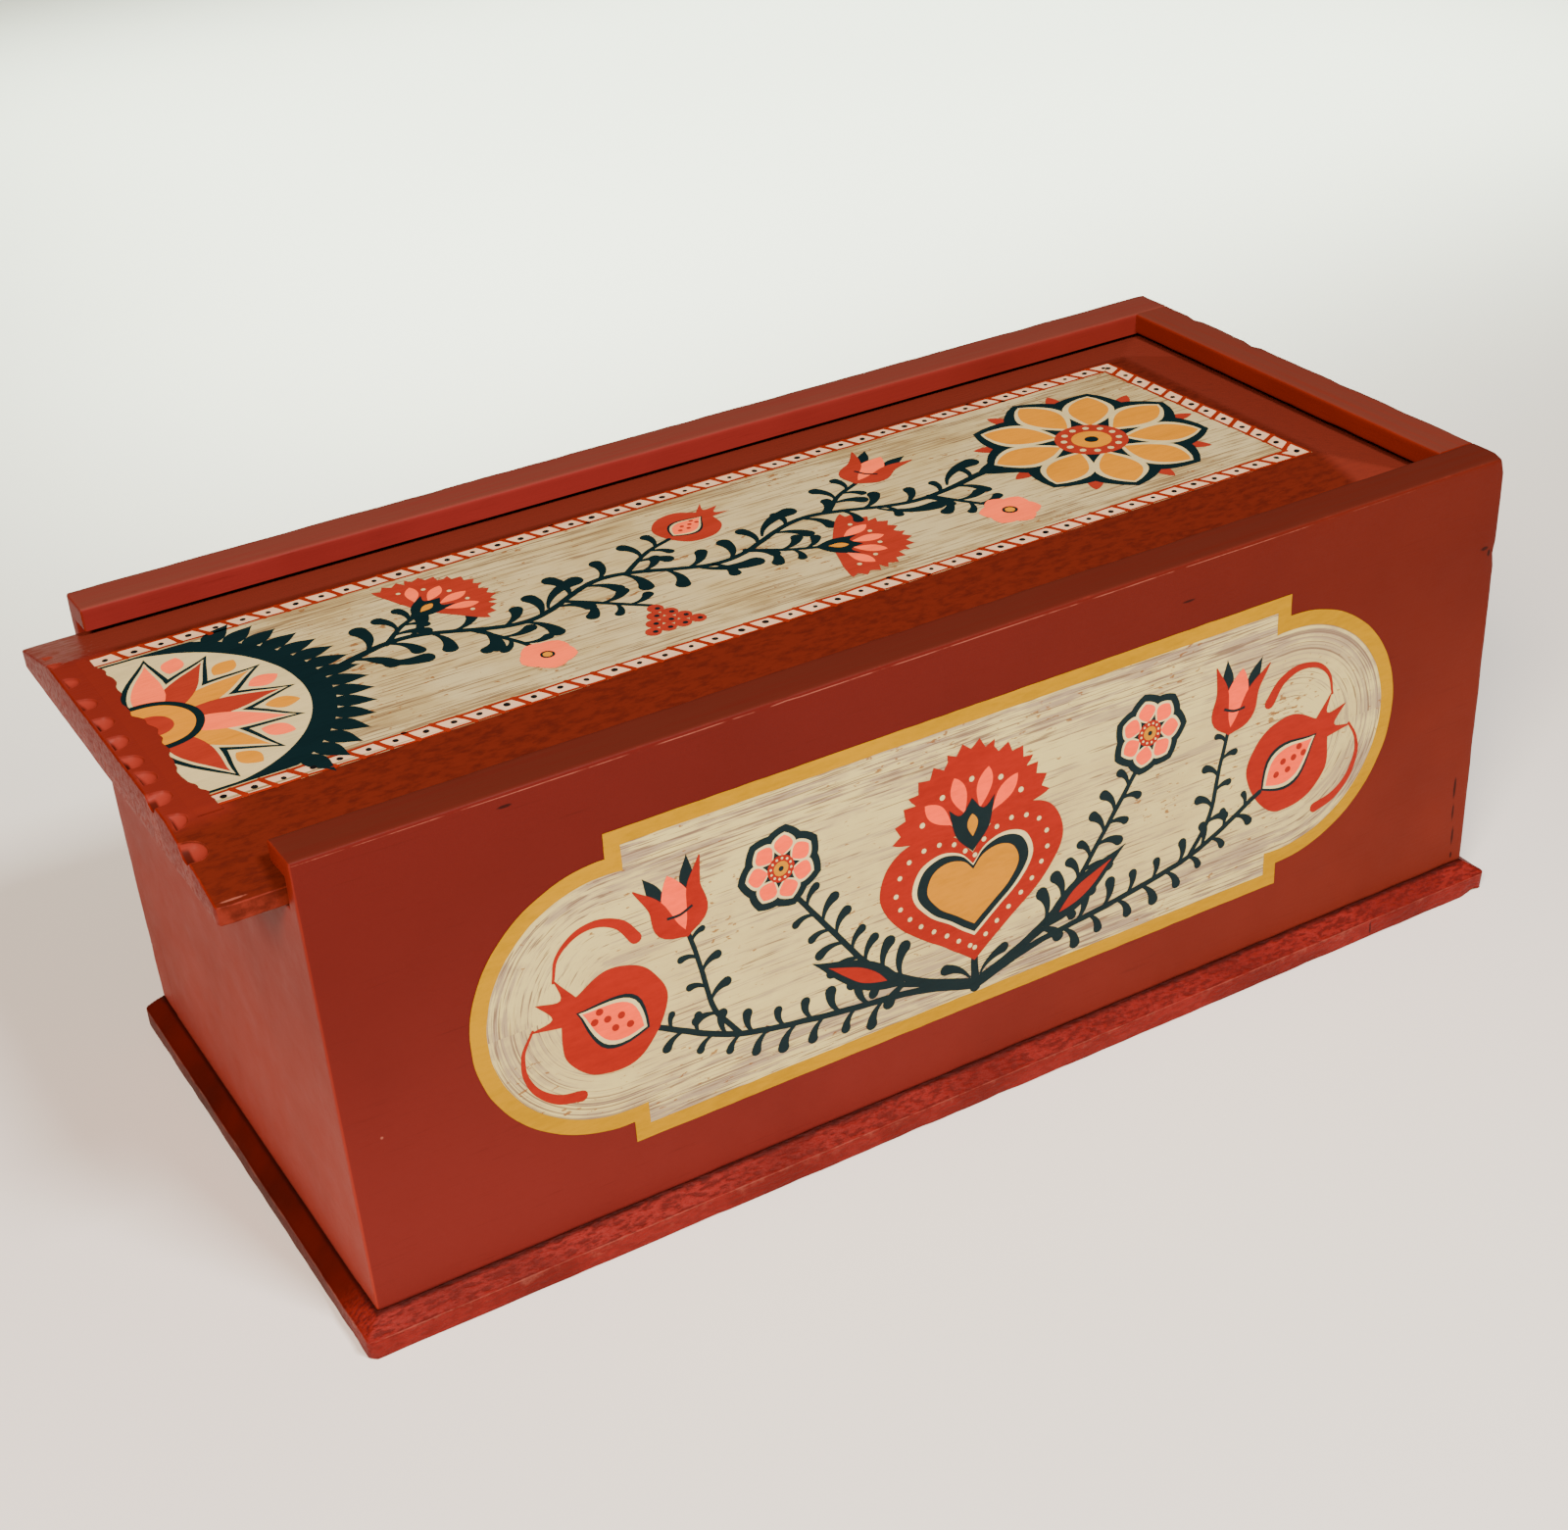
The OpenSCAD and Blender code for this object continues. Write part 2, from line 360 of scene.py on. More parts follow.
def lid_red_paint(name):
    """The lid's red: warm and brushed, with darker mottles on the bevels, fresher at its open end,
    rubbed pale in the gouged hollows with painted shade in their corners, and painted lighter on its back and
    end bevels as painted light"""
    material, tree, shader = new_material(name)
    place = place_in_mm(tree)
    x, y, z = parts(place)
    inwards = x - LID_LOW.x
    aside = y.calc("ABSOLUTE")
    under = (LID_HIGH.z - (aside - LID_FLAT_Y).calc("MAXIMUM")*LID_SLOPE) - z
    grain = use(tree, GRAIN, {"Stretch": (0.05, 1, 1), "Fine": 1.6})
    mottle = ease(cloud(place*(0.4, 1, 1), 0.8, 4.0, 0.65), 0.40, 0.70)
    # painted light: the back and end bevels are made lighter, standing in for the light and sheen they catch
    far = ease(y, LID_FLAT_Y - 1, LID_FLAT_Y + 3).calc("MAXIMUM", ease(x, LID_FLAT_X - 1, LID_FLAT_X + 3)*0.7)
    fresh = ease(inwards, 15, 9)*ease(aside, LID_FLAT_Y + 6, LID_FLAT_Y - 1)
    gouged = ease(inwards, 6.0, 5.4)*ease(under, 0.15, 0.5)*ease(aside, 47.0, 46.4)
    # painted shade: the deep corners of the gouged hollows, by the end wall
    corner = ease(inwards, 1.9, 1.3)*ease(under, 0.8, 1.5)*gouged
    scratches = [((-143.6, LID_LOW.y + 1.2, LID_HIGH.z - 5.4), (2.8, 0.3, 0.8)),
                 ((-144.5, LID_LOW.y + 15, LID_HIGH.z - 2), (1.6, 0.3, 0.8))]
    tone = layered(blend(mottle*0.6, srgb(80, 25, 15), srgb(52, 14, 8)), (far, 0.85, srgb(106, 41, 31)),
                   (grain["Pores"], 0.4, srgb(44, 11, 6)), (fresh, 0.85, srgb(102, 31, 24)),
                   (gouged, 0.7, srgb(122, 42, 33)), (corner, 0.75, GRIME_BROWN),
                   (ease(inwards, 0.5, 0.1), 1.0, srgb(92, 16, 5)),
                   (use(tree, WORN_ARRIS, {"Reach": 0.4, "Scale": 0.3})["Mask"], 0.35, WORN_RED),
                   (marks_mask(tree, scratches), 0.4, BARE_EDGE))
    dress(shader, tone, mottle*0.2 + 0.34, 0.03, grain["Grain"], 0.12)
    return material


def bare_pine(name, stretch):
    """Unpainted, darkened softwood inside the box and under the boards"""
    material, tree, shader = new_material(name)
    grain = use(tree, GRAIN, {"Stretch": stretch, "Fine": 1.1})
    tone = blend(ease(grain["Grain"], 0.35, 0.65), srgb(126, 84, 46), srgb(78, 46, 22))
    tone = layered(tone, (grain["Pores"], 0.5, srgb(70, 42, 22)))
    dress(shader, tone, 0.72, 0.5, grain["Grain"], 0.15)
    return material


def dull_wire(name):
    """Drawn steel wire with a little rust"""
    material, tree, shader = new_material(name)
    rust = ease(cloud(place_in_mm(tree), 2.5, 4.0, 0.7), 0.45, 0.65)
    put(blend(rust, srgb(120, 116, 110), srgb(92, 48, 26)), shader["Base Color"])
    put(1.0 - rust, shader["Metallic"])
    put(0.45, shader["Roughness"])
    return material


# --------------------------------------------------------------------- boards
def stations(marks):
    """Places along a board: at its arrises, close together beside them, then even"""
    places = set(marks)
    for a, b in zip(marks, marks[1:]):
        inner = [d for d in NEAR if 2*d < b - a - 0.6]
        reach = inner[-1] if inner else 0
        count = max(1, round((b - a - 2*reach)/STEP))
        places.update(a + d for d in inner)
        places.update(b - d for d in inner)
        places.update(a + reach + (b - a - 2*reach)*k/count for k in range(count + 1))
    return merge_close(sorted(places))


def merge_close(values):
    """Sorted values, less those that lie within 0.05 mm of the one before"""
    kept = values[:1]
    for v in values:
        if v - kept[-1] > 0.05:
            kept.append(v)
    return kept


def lattice_board(low, high, hollows):
    """A squared board as a lattice of points, without the hollows cut from it"""
    axes = []
    for a in range(3):
        inside = [end[a] for hollow in hollows for end in hollow if low[a] < end[a] < high[a]]
        axes.append(stations(sorted({low[a], high[a], *inside})))
    full = np.zeros([len(axis) - 1 for axis in axes], bool)
    for cell in np.ndindex(*full.shape):
        middle = [(axis[i] + axis[i + 1])/2 for axis, i in zip(axes, cell)]
        full[cell] = not any(all(h[0][a] < middle[a] < h[1][a] for a in range(3)) for h in hollows)
    bm = bmesh.new()
    points = {}

    def point(index):
        if index not in points:
            points[index] = bm.verts.new([axis[i] for axis, i in zip(axes, index)])
        return points[index]

    for cell in zip(*np.nonzero(full)):
        for a in range(3):
            for side in (0, 1):
                beside = list(cell)
                beside[a] += 1 if side else -1
                if 0 <= beside[a] < full.shape[a] and full[tuple(beside)]:
                    continue
                ring = []
                for db, dc in ((0, 0), (1, 0), (1, 1), (0, 1)):
                    index = list(cell)
                    index[a] += side
                    index[(a + 1) % 3] += db
                    index[(a + 2) % 3] += dc
                    ring.append(point(tuple(index)))
                bm.faces.new(ring if side else ring[::-1])
    bm.normal_update()
    return bm


def distances_to(edges, points):
    """Each point's distance to the nearest of some edges"""
    a, b = edges[:, 0], edges[:, 1]
    along = b - a
    length = (along**2).sum(1)
    nearest = np.empty(len(points))
    for start in range(0, len(points), 1000):
        p = points[start:start + 1000, None]
        t = np.clip(((p - a)*along).sum(2)/length, 0, 1)
        nearest[start:start + 1000] = np.sqrt((((p - a) - t[..., None]*along)**2).sum(2)).min(1)
    return nearest


def wander(point, size, seed):
    """Slow, even noise from -1 to 1"""
    return noise.noise(Vector(point)/size + Vector((seed, seed*1.7, -seed)))


def age(bm, distance, seed, dents=(), wobble=0.07, rub=0.22):
    """Planed faces are never dead flat, and handled arrises are rubbed and dented"""
    moves = []
    for v, d in zip(bm.verts, distance):
        move = v.normal*(wobble*wander(v.co, 24, seed))
        if d < 1.6:
            rubbed = max(0.0, wander(v.co, 7, seed + 3) + 0.15)*rub*(1 - d/1.6)
            move -= v.normal*rubbed
        for place, radius, depth in dents:
            away = (v.co - Vector(place)).length/radius
            if away < 1:
                move -= v.normal*(depth*(1 - away*away)**2)
        moves.append(move)
    for v, move in zip(bm.verts, moves):
        v.co += move


def in_scene(name, data):
    """A new object, placed in the scene"""
    made = bpy.data.objects.new(name, data)
    bpy.context.scene.collection.objects.link(made)
    return made


def to_object(bm, name, materials, distance, body, crease=38):
    """Turns a mesh in mm into a piece in metres that rides on a body"""
    mesh = bpy.data.meshes.new(name)
    for v in bm.verts:
        v.co *= MM
    bm.to_mesh(mesh)
    bm.free()
    for material in materials:
        mesh.materials.append(material)
    mesh.attributes.new("arris", "FLOAT", "POINT").data.foreach_set("value", distance.astype(np.float32))
    mesh.shade_smooth()
    mesh.set_sharp_from_angle(angle=math.radians(crease))
    piece = in_scene(name, mesh)
    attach(piece, body)
    return piece


def worn_board(cad_node, hollows, jointed, materials, seed, dents=()):
    """One of the body's boards: squared, grooved, its arrises eased, then aged.
    jointed(point) says which arrises lie in a joint and stay crisp."""
    bm = lattice_board(*corners_of(cad_node), hollows)
    sharp = [e for e in bm.edges if len(e.link_faces) == 2 and e.calc_face_angle() > 0.5]
    outer = [e for e in sharp if e.is_convex and not jointed((e.verts[0].co + e.verts[1].co)/2)]
    lines = np.array([[v.co[:] for v in e.verts] for e in outer])
    bmesh.ops.bevel(bm, geom=outer, offset=0.6, segments=3, profile=0.5, affect="EDGES", clamp_overlap=True)
    bm.normal_update()
    distance = distances_to(lines, np.array([v.co[:] for v in bm.verts]))
    age(bm, distance, seed, dents)
    for face in bm.faces:
        face.material_index = 1 if is_bare(face.calc_center_median(), face.normal) else 0
    piece = to_object(bm, cad_node + "_board", materials, distance, "box")
    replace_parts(piece, cad_node)


def is_bare(p, n):
    """Faces that look into the candle compartment, below the groove, were never painted"""
    within = abs(p.x) < HIGH_END_LOW.x + 0.3 and abs(p.y) < BACK_LOW.y + 0.3
    return within and p.z < GROOVE_FLOOR - 0.4 and abs(n.z) < 0.7


def in_groove(p):
    return (GROOVE_FLOOR - 0.2 < p.z < RAIL_FOOT + 0.2 and abs(p.y) < GROOVE_Y + 0.2
            and p.x < GROOVE_X + 0.2)


def side_joint(p):
    on_end = abs(abs(p.y) - BACK_LOW.y) < 0.3 and abs(p.x) > HIGH_END_LOW.x - 0.3
    return (on_end and p.z < RIM - 0.3 and p.x < GROOVE_X) or in_groove(p) and p.x > LOW_END_HIGH.x


def end_joint(p):
    return abs(abs(p.y) - BACK_LOW.y) < 0.3 or p.z < BASE_HIGH.z + 0.3


def make_body_boards():
    groove = ((FRONT_LOW.x - 1, -GROOVE_Y, GROOVE_FLOOR), (GROOVE_X, GROOVE_Y, RAIL_FOOT))
    face = FRONT_LOW.y
    dark_marks = [((x, face, z), (wide, 1, tall)) for x, z, wide, tall in (
        (130.6, 28.0, 0.45, 3.2), (130.8, 21.6, 0.35, 2.6), (131.4, 15.0, 0.4, 3.0), (131.6, 9.8, 0.4, 1.0),
        (131.6, 87.0, 1.3, 0.6), (133.0, 85.6, 0.7, 1.0), (52.0, 98.6, 2.0, 0.3), (-96.0, 104.2, 1.6, 0.4))]
    pale_marks = [((-20, face, RIM - 0.8), (152, 0.8, 0.13)), ((-128, face, 46.0), (0.35, 1, 0.35))]
    pine_x, pine_y = bare_pine("bare_pine_long", ALONG_X), bare_pine("bare_pine_across", ALONG_Y)
    # the top colour of each board's paint is the painted sheen on its faces that look up
    front_red = barn_red_paint("front_red", ALONG_X, top=srgb(74, 28, 20), dark_marks=dark_marks,
                               pale_marks=pale_marks)
    back_red = barn_red_paint("back_red", ALONG_X, srgb(110, 33, 30), srgb(104, 32, 26), srgb(97, 47, 39))
    high_end_tone = srgb(112, 32, 20)
    high_end_red = barn_red_paint("high_end_red", ALONG_Y, high_end_tone, high_end_tone, srgb(92, 43, 34))
    low_end_red = barn_red_paint("low_end_red", ALONG_Y, END_RED, END_RED)
    worn_board("front_side", [groove], side_joint, [front_red, pine_x], 1.0,
               [((135, -62, 86), 2.4, 0.5), ((135, -62, 107), 2.6, 0.7), ((84, -62, 107), 2.0, 0.35),
                ((-40, -62, 107), 2.4, 0.3)])
    worn_board("back_side", [groove], side_joint, [back_red, pine_x], 2.0)
    worn_board("low_end", [], end_joint, [low_end_red, pine_y], 3.0)
    worn_board("high_end", [groove], end_joint, [high_end_red, pine_y], 4.0,
               [((135, 20, 107), 2.6, 0.5), ((135, -12, 107), 3.0, 0.3), ((135, 41, 107), 1.8, 0.4)])


# ------------------------------------------------- boards with a shaped top face
def rounded(value, low, high, radius, other, other_low, other_high):
    """Moves a point of a rectangle's corner onto the quarter circle there"""
    cx = min(max(value, low + radius), high - radius)
    cy = min(max(other, other_low + radius), other_high - radius)
    dx, dy = value - cx, other - cy
    if dx and dy:
        shrink = max(abs(dx), abs(dy))/math.hypot(dx, dy)
        return cx + dx*shrink, cy + dy*shrink
    return value, other


def shaped_panel(xs, ys, top, floor, ease_r, corner_r):
    """A board that is flat underneath and whose upper face is top(x, y)"""
    bm = bmesh.new()
    x0, x1, y0, y1 = xs[0], xs[-1], ys[0], ys[-1]
    under = ease_r*0.6

    def put_point(x, y, z):
        x, y = rounded(x, x0, x1, corner_r, y, y0, y1)
        return bm.verts.new((x, y, z))

    def inset(i, j):
        return (min(max(xs[i], x0 + ease_r), x1 - ease_r), min(max(ys[j], y0 + ease_r), y1 - ease_r))

    last_i, last_j = len(xs) - 1, len(ys) - 1
    grid = [[put_point(*inset(i, j), top(*inset(i, j))) for j in range(last_j + 1)]
            for i in range(last_i + 1)]
    for i in range(last_i):
        for j in range(last_j):
            bm.faces.new((grid[i][j], grid[i + 1][j], grid[i + 1][j + 1], grid[i][j + 1]))
    border = ([(i, 0) for i in range(last_i)] + [(last_i, j) for j in range(last_j)]
              + [(i, last_j) for i in range(last_i, 0, -1)] + [(0, j) for j in range(last_j, 0, -1)])
    loop = [grid[i][j] for i, j in border]
    turns = (math.pi/8, math.pi/4, 3*math.pi/8, math.pi/2)
    rows = [(ease_r*math.sin(t), ease_r*(1 - math.cos(t)), True) for t in turns]
    for out, rise, hangs in (*rows, (ease_r, under, False), (ease_r - under, 0.0, False)):
        ring = []
        for i, j in border:
            x, y = inset(i, j)
            z = top(x, y) - rise if hangs else floor + rise
            ring.append(put_point(x + ((i == last_i) - (i == 0))*out, y + ((j == last_j) - (j == 0))*out, z))
        for k in range(len(ring)):
            m = (k + 1) % len(ring)
            bm.faces.new((loop[k], ring[k], ring[m], loop[m]))
        loop = ring
    bm.faces.new(loop[::-1])
    bmesh.ops.recalc_face_normals(bm, faces=bm.faces)
    return bm


def spread(low, high, count):
    """Even places from low to high"""
    return [low + (high - low)*k/count for k in range(count + 1)]


def panel_distance(bm, low, high, top):
    """Distance to the arrises round a shaped panel's upper and lower face"""
    found = []
    for v in bm.verts:
        x, y, z = v.co
        aside = max(0.0, min(x - low.x, high.x - x, y - low.y, high.y - y))
        found.append(min(math.hypot(aside, max(0, top(x, y) - z)), math.hypot(aside, z - low.z)))
    return np.array(found)


def make_base_board():
    """Bottom board: chamfered all round above an upright edge"""
    ledge = FRONT_LOW.x - BASE_LOW.x
    back_ledge = BASE_HIGH.y - BACK_HIGH.y
    chamfer_steps = 6

    def top(x, y):
        share = min((x - BASE_LOW.x)/ledge, (BASE_HIGH.x - x)/ledge, (y - BASE_LOW.y)/ledge,
                    (BASE_HIGH.y - y)/back_ledge)
        return BASE_EDGE_H + (BASE_HIGH.z - BASE_EDGE_H)*min(1.0, max(0.0, share))

    xs = (spread(BASE_LOW.x, FRONT_LOW.x, chamfer_steps) + spread(FRONT_LOW.x, FRONT_HIGH.x, 100)[1:]
          + spread(FRONT_HIGH.x, BASE_HIGH.x, chamfer_steps)[1:])
    ys = (spread(BASE_LOW.y, FRONT_LOW.y, chamfer_steps) + spread(FRONT_LOW.y, BACK_HIGH.y, 46)[1:]
          + spread(BACK_HIGH.y, BASE_HIGH.y, chamfer_steps)[1:])
    bm = shaped_panel(xs, ys, top, BASE_LOW.z, 0.4, 1.3)
    distance = panel_distance(bm, BASE_LOW, BASE_HIGH, top)
    bm.normal_update()
    age(bm, distance, 5.0, wobble=0.05, rub=0.35,
        dents=[((139.2, -66.2, 2.0), 3.2, 1.0), ((136.0, -66.2, 0.0), 2.6, 0.8),
               ((-139.2, -66.2, 0.2), 1.6, 0.5), ((-120, -66.2, 4.4), 1.5, 0.3),
               ((30, -66.2, 4.4), 1.8, 0.3), ((100, -66.2, 4.2), 1.4, 0.35)])
    for v in bm.verts:
        v.co.z = max(v.co.z, BASE_LOW.z)
    for face in bm.faces:
        middle = face.calc_center_median()
        covered = abs(middle.x) < FRONT_HIGH.x - 3 and FRONT_LOW.y + 3 < middle.y < BACK_HIGH.y - 3
        face.material_index = 1 if face.normal.z < -0.9 or covered else 0
    materials = [chalky_red_paint("base_red"), bare_pine("floor_pine", ALONG_X)]
    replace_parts(to_object(bm, "bottom_board", materials, distance, "box"), "base_board")


NOTCH_YS = (43.0, 35.0, 25.6, 15.6, 6.0, -2.6, -10.6, -17.7, -26.5, -35.4, -43.0)
NOTCH_R = 2.9
NOTCH_DEPTHS = (0.6, 0.8, 1.0, 1.4, 1.9, 1.8, 1.9, 1.8, 1.9, 1.5, 1.8)
NOTCH_RUN = 1.8


def lid_face(x, y):
    """Height of the lid's raised field and bevels"""
    down = max(0.0, abs(y) - LID_FLAT_Y, x - LID_FLAT_X)
    return LID_HIGH.z - down*LID_SLOPE


def gouge_cuts():
    """What the gouge takes out of the lid's open end: round-nosed hollows, most with a wall of
    wood left at the end face"""
    bm = bmesh.new()
    turns, nose = 32, 8
    for k, (middle, depth) in enumerate(zip(NOTCH_YS, NOTCH_DEPTHS)):
        start = 0.62 + 0.5*math.sin(k*2.9 + 1.0)
        start = start if start > 0.25 else -2.0
        profile = [(start + (NOTCH_RUN - start)*j/4, NOTCH_R) for j in range(5)]
        profile += [(NOTCH_RUN + NOTCH_R*math.sin(t), NOTCH_R*math.cos(t))
                    for t in np.arange(1, nose)*math.pi/2/nose]
        level = lid_face(LID_LOW.x, middle) - depth + NOTCH_R
        tilt, drift = 0.12 + 0.04*math.sin(k*2.3), 0.14*math.sin(k*1.7)
        rings = []
        for along_it, r in profile:
            rings.append([bm.verts.new((LID_LOW.x + along_it, middle + drift*along_it + r*math.sin(a),
                                        level + tilt*along_it + r*math.cos(a)))
                          for a in np.arange(turns)*2*math.pi/turns])
        tip = bm.verts.new((LID_LOW.x + NOTCH_RUN + NOTCH_R, middle + drift*(NOTCH_RUN + NOTCH_R),
                            level + tilt*(NOTCH_RUN + NOTCH_R)))
        bm.faces.new(rings[0])
        for ring, after in zip(rings, rings[1:]):
            for i in range(turns):
                bm.faces.new((ring[i - 1], ring[i], after[i], after[i - 1]))
        for i in range(turns):
            bm.faces.new((rings[-1][i - 1], rings[-1][i], tip))
    bmesh.ops.recalc_face_normals(bm, faces=bm.faces)
    return bm


def cut_from(bm, tool):
    """The mesh bm, less what the closed mesh tool holds"""
    pieces = []
    for part, label in ((bm, "uncut"), (tool, "tool")):
        mesh = bpy.data.meshes.new(label)
        part.to_mesh(mesh)
        part.free()
        pieces.append(in_scene(label, mesh))
    cut = pieces[0].modifiers.new("cut", "BOOLEAN")
    cut.object, cut.operation, cut.solver = pieces[1], "DIFFERENCE", "EXACT"
    left = bpy.data.meshes.new_from_object(pieces[0].evaluated_get(bpy.context.evaluated_depsgraph_get()))
    found = bmesh.new()
    found.from_mesh(left)
    for mesh in (left, pieces[0].data, pieces[1].data):
        bpy.data.meshes.remove(mesh)
    return found


def make_lid():
    bevel_steps = 24
    xs = merge_close(spread(LID_LOW.x, LID_FLAT_X, 96) + spread(LID_FLAT_X, LID_HIGH.x, bevel_steps))
    ys = merge_close(spread(LID_LOW.y, -LID_FLAT_Y, bevel_steps) + spread(-LID_FLAT_Y, LID_FLAT_Y, 30)
                     + spread(LID_FLAT_Y, LID_HIGH.y, bevel_steps))
    bm = cut_from(shaped_panel(xs, ys, lid_face, LID_LOW.z, 0.35, 0.9), gouge_cuts())
    bm.normal_update()
    crisp = [e for e in bm.edges if len(e.link_faces) == 2 and e.is_convex and e.calc_face_angle() > 0.45]
    rims = np.array([[v.co[:] for v in e.verts] for e in crisp])
    points = np.array([v.co[:] for v in bm.verts])
    distance = np.minimum(panel_distance(bm, LID_LOW, LID_HIGH, lid_face), distances_to(rims, points) + 0.1)
    age(bm, distance, 6.0, wobble=0.03, rub=0.12)
    for face in bm.faces:
        face.material_index = 1 if face.normal.z < -0.9 else 0
    materials = [lid_red_paint("lid_red"), bare_pine("lid_pine", ALONG_X)]
    piece = to_object(bm, "raised_panel_lid", materials, distance, "lid", crease=24)
    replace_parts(piece, "lid")


# ------------------------------------------------------------ painter's strokes
# A shape is (points, faces) in the flat of a panel, in mm.
def smooth_line(points, step=0.7):
    """Even points on a smooth line through the given ones, with their widths if any"""
    p = np.array([points[0], *points, points[-1]], float)
    p[0], p[-1] = 2*p[1] - p[2], 2*p[-2] - p[-3]
    found = []
    for k in range(1, len(p) - 2):
        span = np.linalg.norm(p[k + 1][:2] - p[k][:2])
        count = max(2, int(span/step))
        for t in np.arange(count)/count:
            a, b, c, d = p[k - 1:k + 3]
            found.append(0.5*(2*b + (c - a)*t + (2*a - 5*b + 4*c - d)*t*t + (3*b - a - 3*c + d)*t**3))
    found.append(p[-2])
    return np.array(found)


def fill(outline):
    """A closed outline filled with faces"""
    flat = [Vector((u, v, 0)) for u, v in outline]
    found = {tuple(sorted(t)): tuple(t) for t in geometry.tessellate_polygon([flat])}
    return [tuple(p) for p in outline], list(found.values())


def closed(points):
    """A closed outline through points (u, v) or, at a sharp tip, (u, v, 1), filled with faces"""
    tips = [k for k, p in enumerate(points) if len(p) == 3]
    plain = [p[:2] for p in points]
    outline = []
    for first, k in enumerate(tips):
        stop = tips[(first + 1) % len(tips)]
        span = plain[k:stop + 1] if stop > k else plain[k:] + plain[:stop + 1]
        outline.extend(smooth_line(span)[:-1])
    return fill(outline)


def symmetric(half):
    """A closed outline from its right half, which starts and ends on the middle line"""
    return closed(half + [(-u, *rest) for u, *rest in half[-2:0:-1]])


def stroke(points, step=0.7):
    """A brush stroke through points (u, v, width), round where it ends wide"""
    line = smooth_line(points, step)
    way = np.gradient(line[:, :2], axis=0)
    way /= np.linalg.norm(way, axis=1)[:, None] + 1e-9
    side = np.stack([-way[:, 1], way[:, 0]], 1)*np.maximum(line[:, 2:3], 0.05)/2
    left, right = line[:, :2] + side, line[:, :2] - side
    pts = [tuple(p) for pair in zip(left, right) for p in pair]
    faces = [(2*k, 2*k + 1, 2*k + 3, 2*k + 2) for k in range(len(line) - 1)]
    for end, turn in ((0, 1), (len(line) - 1, -1)):
        width = line[end, 2]
        if width > 0.5:
            start = math.atan2(*(side[end]*turn)[::-1])
            arc = [(line[end, 0] + width/2*math.cos(start + math.pi*k/6),
                    line[end, 1] + width/2*math.sin(start + math.pi*k/6)) for k in range(1, 6)]
            first = len(pts)
            pts += arc
            a, b = (2*end, 2*end + 1) if turn == 1 else (2*end + 1, 2*end)
            faces.append((a, *range(first, first + 5), b))
    return pts, faces


def disc(u, v, r):
    count = max(10, int(10 + r*2.5))
    turns = [2*math.pi*k/count for k in range(count)]
    return fill([(u + r*math.cos(a), v + r*math.sin(a)) for a in turns])


def petal(length, width, start=0.0, tip=1.25):
    """A drop pointing along +v: narrow at its start, round at its far end"""
    side = [(width/2*math.sin(math.pi*t**tip)**0.8, start + (length - start)*t) for t in np.arange(1, 14)/14]
    return fill([(0, start), *side, (0, length), *[(-u, v) for u, v in side[::-1]]])


def leaf(length, width):
    """A leaf pointed at both ends, along +v"""
    side = [(width/2*math.sin(math.pi*t**0.8)**1.2, length*t) for t in np.arange(1, 12)/12]
    return fill([(0, 0), *side, (0, length), *[(-u, v) for u, v in side[::-1]]])


def comma(u, v, angle, length, width, bend):
    """A comma leaf: it leaves its stem thin, curls by bend degrees and ends round"""
    points, heading = [(u, v, 0.5)], angle
    for k in range(1, 6):
        heading = math.radians(angle + bend*k/5)
        u, v = u + length/5*math.cos(heading), v + length/5*math.sin(heading)
        points.append((u, v, 0.5 + (width - 0.5)*(k/5)**1.25))
    return stroke(points, 0.5)


def placed(shape, u, v, angle=0.0, scale=1.0, flip=1):
    """A shape drawn round (0, 0), turned by angle degrees and moved"""
    c, s = math.cos(math.radians(angle))*scale, math.sin(math.radians(angle))*scale
    pts, faces = shape
    return [(u + flip*x*c - y*s, v + flip*x*s + y*c) for x, y in pts], faces


class Painting:
    """What is painted on one panel: shapes sorted by paint and by coat"""

    def __init__(self):
        self.coats = {}

    def lay(self, paint, coat, *shapes):
        self.coats.setdefault((paint, coat), []).extend(shapes)

    def add(self, other, u, v, angle=0.0, scale=1.0, flip=1):
        for (paint, coat), shapes in other.coats.items():
            self.lay(paint, coat, *[placed(s, u, v, angle, scale, flip) for s in shapes])


def sprig(painting, line, pairs, length=6.8, width=2.7, start=0.1, end=0.95, lean=22, curl=66):
    """A stem with pairs of comma leaves that open outwards and grow smaller along it"""
    points = smooth_line(line, 0.7)
    painting.lay("leaf_green", 1, stroke([(u, v, w + 0.25) for u, v, w in line]))
    for k in range(2*pairs):
        at = int((start + (end - start)*k/(2*pairs - 1))*(len(points) - 2))
        way = math.degrees(math.atan2(*(points[at + 1] - points[at])[1::-1]))
        side = 1 if k % 2 else -1
        size = 1.05 - 0.35*k/(2*pairs) + 0.12*math.sin(k*2.4)
        one = comma(*points[at][:2], way + side*lean, length*size, width*size, side*curl)
        painting.lay("leaf_green", 1, one)


